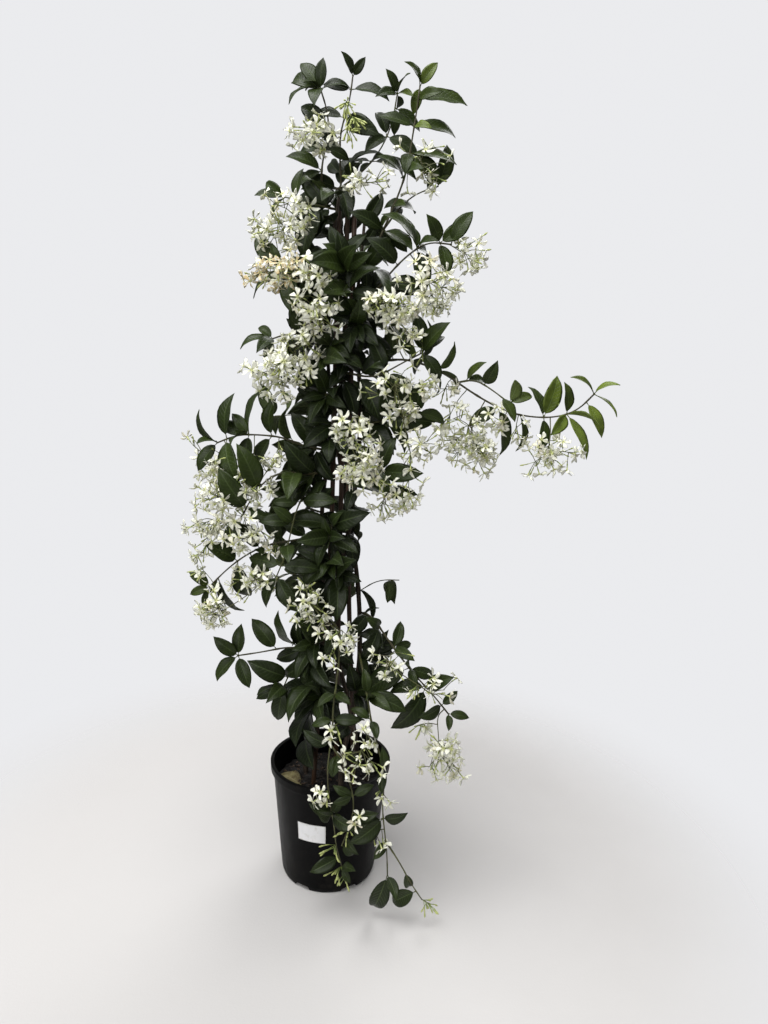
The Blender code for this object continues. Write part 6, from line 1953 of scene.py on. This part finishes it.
def dress_stems():
    """Woody twining stems: uneven round bark with knots at even spacing along them."""
    finish = bark_paint()
    kinds = [0] * STEM_FINE_SIDES
    for index, name in enumerate(STEM_NAMES):
        chain = stem_points(index)
        line, radii = softened(chain, stem_radii(len(chain)), 9)
        shape = Shape(name + "_bark", [finish])
        rings = []
        distance = 0.0
        for i, (point, (along, side, other)) in enumerate(zip(line, directions(line))):
            if i:
                distance += (point - line[i - 1]).length
            places = []
            past_knot = (distance + 0.01 * index) % KNOT_SPACING - 0.03
            knot = KNOT_SWELL * math.exp(-past_knot ** 2 / KNOT_SPREAD)
            for c, s in around(STEM_FINE_SIDES):
                spot = Vector((c * 1.4, s * 1.4, distance * 60 + index))
                radius = radii[i] * (0.97 + 0.13 * noise.noise(spot) + knot)
                places.append(point + (side * c + other * s) * radius)
            marks = [(distance, k / STEM_FINE_SIDES, 0) for k in range(STEM_FINE_SIDES)]
            rings.append(shape.ring(places, marks))
        shape.skin(rings, kinds)
        shape.close(rings[0], line[0], NO_MARK, kinds, start=True)
        shape.close(rings[-1], line[-1], (distance, 0, 0), kinds)
        shape.piece(name, "bark")


def cane_reach(z):
    """How far the canes' own middles stand from the middle line at a height."""
    reach = 0.0
    for index in range(len(CANE_NAMES)):
        table = [(p.z, math.hypot(p.x - MIDDLE.x, p.y - MIDDLE.y)) for p in cane_points(index)]
        reach = max(reach, blend(table, z))
    return reach


def dress_ties():
    """Black bands round the canes, with rounded edges and a small buckle."""
    finish = plastic_paint("tie_plastic", *TIE_BLACKS, 0.42)
    half = TIE_WIDTH / 2
    long, deep, tall = TIE_BUCKLE
    kinds = [0] * len(BUCKLE_RING)
    for name, z in TIE_HEIGHTS:
        reach = max(cane_reach(z - half), cane_reach(z + half))
        inner = (reach + CANE_RADIUS + GAP) / math.cos(math.pi / TIE_SIDES)
        outer = inner + TIE_THICKNESS
        level = MIDDLE + Vector((0, 0, z))
        shape = Shape(name + "_band", [finish])
        turned_band(shape, level, band_profile(inner, outer, half, [TIE_EDGE] * 4))
        turn = math.radians(TIE_BUCKLE_TURN)
        out = Vector((math.cos(turn), math.sin(turn), 0))
        middle = level + out * (outer - BUCKLE_SINK)
        over = Vector((-out.y, out.x, 0))
        block = []
        for share, size in BUCKLE_ENDS:
            places = []
            for a, b in BUCKLE_RING:
                raised = Vector((0, 0, b * tall * size))
                places.append(middle + over * (share * long) + out * (a * deep * size) + raised)
            block.append(shape.ring(places, [NO_MARK] * len(places)))
        for one, two in zip(block, block[1:]):
            shape.loft(two, one, kinds)
        shape.close(block[0], middle - over * long, NO_MARK, kinds)
        shape.close(block[-1], middle + over * long, NO_MARK, kinds, start=True)
        shape.piece(name, "tie", sharp=40)


def dress_label():
    """The blank label: thin paper that follows the wall, with a soft crease and a lifted corner."""
    shape = Shape("label_paper", [paper_paint()])
    first = math.tau * LABEL_FIRST_STEP / POT_SIDES
    wide = math.tau * LABEL_STEPS / POT_SIDES
    columns, rows = LABEL_GRID
    sheets = []
    for side in (1, 0):
        sheet = []
        for j in range(rows + 1):
            up = j / rows
            z = LABEL_MIDDLE + (up - 0.5) * LABEL_HEIGHT
            places = []
            marks = []
            for i in range(columns + 1):
                across = i / columns
                turn = first + across * wide
                lift = LABEL_LIFT * max(0.0, across - 0.8) * max(0.0, up - 0.6)
                crease = LABEL_CREASE * math.exp(-((across - 0.25 - 0.2 * up) / 0.03) ** 2)
                wave = LABEL_WAVE * noise.noise(Vector((across * 6, up * 4, 0)))
                radius = wall_radius(z) + GAP + lift + crease + wave + side * LABEL_THICKNESS * 0.5
                places.append(Vector((radius * math.cos(turn), radius * math.sin(turn), z)))
                marks.append((across, up, max(abs(across - 0.5), abs(up - 0.5)) * 2))
            sheet.append(shape.ring(places, marks))
        sheets.append(sheet)
    front, back = sheets
    for j in range(rows):
        for i in range(columns):
            shape.faces.append((front[j][i], front[j][i + 1], front[j + 1][i + 1], front[j + 1][i]))
            shape.faces.append((back[j][i], back[j + 1][i], back[j + 1][i + 1], back[j][i + 1]))
        shape.faces.append((front[j][0], front[j + 1][0], back[j + 1][0], back[j][0]))
        shape.faces.append((front[j + 1][-1], front[j][-1], back[j][-1], back[j + 1][-1]))
    for i in range(columns):
        shape.faces.append((front[0][i + 1], front[0][i], back[0][i], back[0][i + 1]))
        shape.faces.append((front[-1][i], front[-1][i + 1], back[-1][i + 1], back[-1][i]))
    shape.kinds = [0] * len(shape.faces)
    shape.piece("label", "label", sharp=50)


def dress_clip():
    """The teal clip: a ring with rounded edges and two small finger tabs."""
    finish = plastic_paint("clip_plastic", *CLIP_TEALS, 0.35)
    middle = stem_points(0)[4]
    shape = Shape("clip_ring", [finish])
    profile = band_profile(CLIP_INNER, CLIP_OUTER, CLIP_HEIGHT / 2, (0.0004, 0.0005, 0.0005, 0.0004))
    turned_band(shape, middle, profile)
    for side in (-1, 1):
        turn = math.radians(CLIP_TURN + CLIP_TAB_TURN * side)
        out = Vector((math.cos(turn), math.sin(turn), 0))
        line = [middle + out * (CLIP_INNER + reach) for reach, radius in CLIP_TAB]
        sweep(shape, line, [radius for reach, radius in CLIP_TAB], 8, 0)
    shape.piece("clip", "clip", sharp=40)


def dress_fallen_leaf():
    """The dry leaf on the soil, curled at its edges."""
    finish = dry_paint()
    level = Vector((0, 0, SOIL_HEIGHT))
    leaf = {"base": level + Vector(DRY_FOOT), "tip": level + Vector(DRY_TIP), "face": Vector((0, 0, 1)),
            "width": DRY_WIDTH, "arch": LEAF_ARCH[0]}
    shape = Shape("fallen_leaf_dry", [finish, finish])
    add_leaf(shape, leaf, random.Random("fallen leaf"), 0.5)
    shape.piece("fallen_leaf", "dry_leaf")


def nearest_on(line, place):
    """The place on a line of points that is nearest to a place."""
    best = None
    for a, b in zip(line, line[1:]):
        run = b - a
        share = min(1.0, max(0.0, (place - a).dot(run) / max(1e-12, run.length_squared)))
        spot = a + run * share
        if best is None or (spot - place).length < (best - place).length:
            best = spot
    return best


def nearest_of(lines, place):
    """The nearest place on any of several lines."""
    return min((nearest_on(line, place) for line in lines), key=lambda spot: (spot - place).length)


def swollen(line, radii, joints):
    """A stem's radii, a little thicker at each joint."""
    made = []
    for point, radius in zip(line, radii):
        near = min((point - joint).length for joint in joints)
        made.append(radius * (0.94 + 0.30 * math.exp(-(near / 0.0024) ** 2)))
    return made


def leaf_tone_and_painted_light(leaf, draw):
    """How young and light a leaf is: lighter outside and where small, as young leaves are; lighter at the top
    and on the right as painted light; darker low down and near the canes as painted shade.
    """
    length = (leaf["tip"] - leaf["base"]).length
    middle = leaf["base"].lerp(leaf["tip"], 0.6)
    reach = math.hypot(middle.x - MIDDLE.x, middle.y - MIDDLE.y)
    measures = {"height": middle.z, "reach": reach, "right": middle.x, "short": -length}
    tone = TONE_FLOOR + TONE_ANY * draw.random()
    # Lighter far out and where small, as young leaves are; lighter at the top and on the right as painted
    # light.
    for measure, share, low, high in TONE_PARTS_AND_PAINTED_LIGHT:
        tone += share * ease(measures[measure], low, high)
    # Painted shade: darker low down and near the canes.
    for measure, least, low, high in TONE_PAINTED_SHADE:
        tone *= least + (1 - least) * ease(measures[measure], low, high)
    return min(1.0, max(0.0, tone))


def soft_line(stem, root, runs):
    """The smooth line and radii of a stem, rooted a little way into what bears it."""
    start = stem["points"][0]
    rooted = [start - (stem["points"][1] - start).normalized() * root] + stem["points"][1:]
    return softened(rooted, stem["radii"], runs)


def dress_shoot(shoot, bunches, finishes):
    """A shoot's thin stems, its leaves and the bunches that grow straight from it."""
    shape = Shape(shoot["name"] + "_leaves", finishes)
    lines = []
    for number, stem in enumerate(shoot["stems"]):
        line, radii = soft_line(stem, SHOOT_ROOT, 5)
        tone = 0.75 if number or shoot["name"].endswith("fall") else 0.35
        sweep(shape, line, swollen(line, radii, leaf_joints(stem)), 7, SHOOT_KIND, tone)
        lines.append(line)
    for number, leaf in enumerate(shoot["leaves"]):
        draw = random.Random(f"{shoot['name']} form {number}")
        add_leaf(shape, leaf, draw, leaf_tone_and_painted_light(leaf, draw))
    add_bunches(shape, shoot["name"], lines, bunches)
    shape.piece(shoot["name"], "foliage")


def add_bunches(shape, node, lines, bunches):
    """The stalks, open flowers and buds of a node's bunches, each brought to the line that bears it."""
    lines = list(lines)
    for bunch in bunches:
        for side in bunch["stalks"]:
            side = [nearest_of(lines, side[0])] + side[1:]
            sizes = [STALK_RADIUS * (0.75 - 0.35 * i / (len(side) - 1)) for i in range(len(side))]
            sweep(shape, side, sizes, 5, STALK_KIND, 0.7)
            lines.append(side)
    aged = 0.5 if node == OLD_SPRAY else 0.0
    flowers = [flower for bunch in bunches for flower in bunch["flowers"]]
    for number, flower in enumerate(flowers):
        draw = random.Random(f"{node} flower form {number}")
        foot = nearest_of(lines, flower["foot"])
        run = flower["foot"] + flower["axis"] * flower["reach"] - foot
        add_flower(shape, dict(flower, foot=foot, axis=run.normalized(), reach=run.length), draw,
                   min(1.0, draw.uniform(0.1, 0.75) + aged))
    for number, (foot, axis, reach) in enumerate(bud for bunch in bunches for bud in bunch["buds"]):
        draw = random.Random(f"{node} bud {number}")
        add_bud(shape, nearest_of(lines, foot), axis, reach, draw, draw.random())


def dress_stem_leaves(name, leaves, finishes):
    """The leaves that grow straight from a woody stem."""
    shape = Shape(name + "_leaves", finishes)
    for number, leaf in enumerate(leaves):
        draw = random.Random(f"{name} form {number}")
        add_leaf(shape, leaf, draw, leaf_tone_and_painted_light(leaf, draw))
    shape.piece(None, "foliage")


def dress_spray(spray, bunches, finishes):
    """A spray's stalk, with its open flowers and its buds."""
    node = spray["name"]
    shape = Shape(node + "_flowers", finishes)
    line, radii = soft_line(spray["stalk"], STALK_ROOT, 4)
    sweep(shape, line, [radius * 0.85 for radius in radii], 6, STALK_KIND, 0.4)
    own = {"flowers": spray["flowers"], "buds": [], "stalks": []}
    add_bunches(shape, node, [line], [own] + bunches)
    shape.piece(node, "blossom")


def dress_plant():
    """Every stem, leaf and flower of the plan, with more of both between them."""
    shoots, sprays, crowd = plan_plant()
    bunches = {plan["name"]: [] for plan in shoots + sprays}
    for spray in sprays:
        bunches[spray["name"]].append(more_flowers(crowd, spray, MORE_FLOWERS))
    stems = {shoot["name"]: [stem["points"] for stem in shoot["stems"]] for shoot in shoots}
    stems.update({spray["name"]: [spray["stalk"]["points"]] for spray in sprays})
    for node, place, flowers, buds in BUNCHES:
        bunches[node].append(add_bunch(crowd, node, stems[node], place, flowers, buds))
    for shoot in shoots:
        joints = [p for stem in shoot["stems"] for p in leaf_joints(stem)]
        placed_leaves(crowd, shoot["name"], joints, shoot["leaves"])
        wanted = next(count for start, count in MORE_LEAVES.items() if shoot["name"].startswith(start))
        more_leaves(crowd, shoot["name"], joints, wanted, shoot["leaves"], MORE_SIZES)
    grown = {name: [] for name in STEM_NAMES}
    for index, name in enumerate(STEM_NAMES):
        chain = stem_points(index)
        line = softened(chain, stem_radii(len(chain)), 4)[0]
        placed_leaves(crowd, name, line, grown[name])
        joints = [p for p in line if p.z > STEM_LEAF_FROM]
        more_leaves(crowd, name, joints, STEM_LEAVES, grown[name], STEM_LEAF_SIZES)
    finishes = [leaf_paint("leaf_top", LEAF_TOP_COLOURS, LEAF_TOP_VEIN, (0.30, 0.46), -0.5),
                leaf_paint("leaf_under", LEAF_UNDER_COLOURS, LEAF_UNDER_VEIN, (0.55, 0.7), 0.7),
                shoot_paint("shoot_bark", SHOOT_YOUNG, SHOOT_OLD, SHOOT_PORES),
                petal_paint("petal", PETAL_TIP, PETAL_MIDDLE, PETAL_AGED),
                tube_paint("flower_tube", TUBE_FOOT, TUBE_TOP, (0.001, 0.009)),
                tube_paint("bud", BUD_FOOT, BUD_TOP, (0.004, 0.016)),
                shoot_paint("flower_stalk", STALK_YOUNG, STALK_OLD, SHOOT_PORES)]
    for shoot in shoots:
        dress_shoot(shoot, bunches[shoot["name"]], finishes)
    for name, leaves in grown.items():
        dress_stem_leaves(name, leaves, finishes)
    for spray in sprays:
        dress_spray(spray, bunches[spray["name"]], finishes)


def make_stage():
    """A pale plain floor under soft studio light."""
    shape = bmesh.new()
    bmesh.ops.create_circle(shape, cap_ends=True, segments=96, radius=FLOOR_RADIUS)
    mesh = bpy.data.meshes.new("studio_floor")
    shape.to_mesh(mesh)
    shape.free()
    mesh.materials.append(floor_paint())
    floor = bpy.data.objects.new("studio_floor", mesh)
    floor.location.z = -FLOOR_DROP
    bpy.context.scene.collection.objects.link(floor)
    world = bpy.data.worlds.new("studio")
    world.use_nodes = True
    tree = world.node_tree
    light = tree.nodes["Background"]
    light.inputs["Color"].default_value = (*SKY_LIGHT, 1.0)
    seen = tree.nodes.new("ShaderNodeBackground")
    seen.inputs["Color"].default_value = (*SKY_COLOUR, 1.0)
    path = tree.nodes.new("ShaderNodeLightPath")
    mix = tree.nodes.new("ShaderNodeMixShader")
    tree.links.new(path.outputs["Is Camera Ray"], mix.inputs[0])
    tree.links.new(light.outputs[0], mix.inputs[1])
    tree.links.new(seen.outputs[0], mix.inputs[2])
    tree.links.new(mix.outputs[0], tree.nodes["World Output"].inputs["Surface"])
    bpy.context.scene.world = world
    for name, place, size, energy in LIGHTS:
        light = bpy.data.lights.new(name, "AREA")
        light.shape = "DISK"
        light.size = size
        light.energy = energy
        lamp = bpy.data.objects.new(name, light)
        lamp.location = place
        aim = Vector(LIGHT_AIM) - Vector(place)
        lamp.rotation_euler = aim.to_track_quat("-Z", "Y").to_euler()
        bpy.context.scene.collection.objects.link(lamp)
    bpy.context.scene.view_settings.view_transform = "Standard"


def make_camera():
    """The camera as the photograph was taken: fitted to the pot's ovals and the floor's lines."""
    camera = bpy.data.cameras.new("camera")
    camera.sensor_width = SENSOR
    camera.lens = FOCAL_PIXELS / FRAME_HEIGHT * SENSOR
    camera.shift_x = (FRAME_WIDTH / 2 - MIDDLE_PIXEL[0]) / FRAME_HEIGHT
    camera.shift_y = (MIDDLE_PIXEL[1] - FRAME_HEIGHT / 2) / FRAME_HEIGHT
    pitch = math.radians(CAMERA_PITCH)
    roll = math.radians(CAMERA_ROLL)
    ahead = Vector((0, math.cos(pitch), -math.sin(pitch)))
    up = Vector((0, math.sin(pitch), math.cos(pitch)))
    right = Vector((1, 0, 0))
    across = right * math.cos(roll) + up * math.sin(roll)
    over = up * math.cos(roll) - right * math.sin(roll)
    turn = Matrix((across, over, -ahead)).transposed().to_4x4()
    eye = bpy.data.objects.new("camera", camera)
    eye.matrix_world = Matrix.Translation(CAMERA_PLACE) @ turn
    bpy.context.scene.collection.objects.link(eye)
    bpy.context.scene.camera = eye


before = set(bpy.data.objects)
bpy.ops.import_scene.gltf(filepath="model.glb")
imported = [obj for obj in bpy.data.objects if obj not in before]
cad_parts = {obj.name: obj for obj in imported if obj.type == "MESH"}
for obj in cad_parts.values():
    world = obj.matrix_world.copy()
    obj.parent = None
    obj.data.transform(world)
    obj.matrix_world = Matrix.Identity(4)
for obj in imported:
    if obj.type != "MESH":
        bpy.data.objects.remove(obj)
CAD_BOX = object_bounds()
dress_plant()
dress_pot()
dress_soil()
dress_canes()
dress_stems()
dress_ties()
dress_label()
dress_clip()
dress_fallen_leaf()
make_stage()
make_camera()
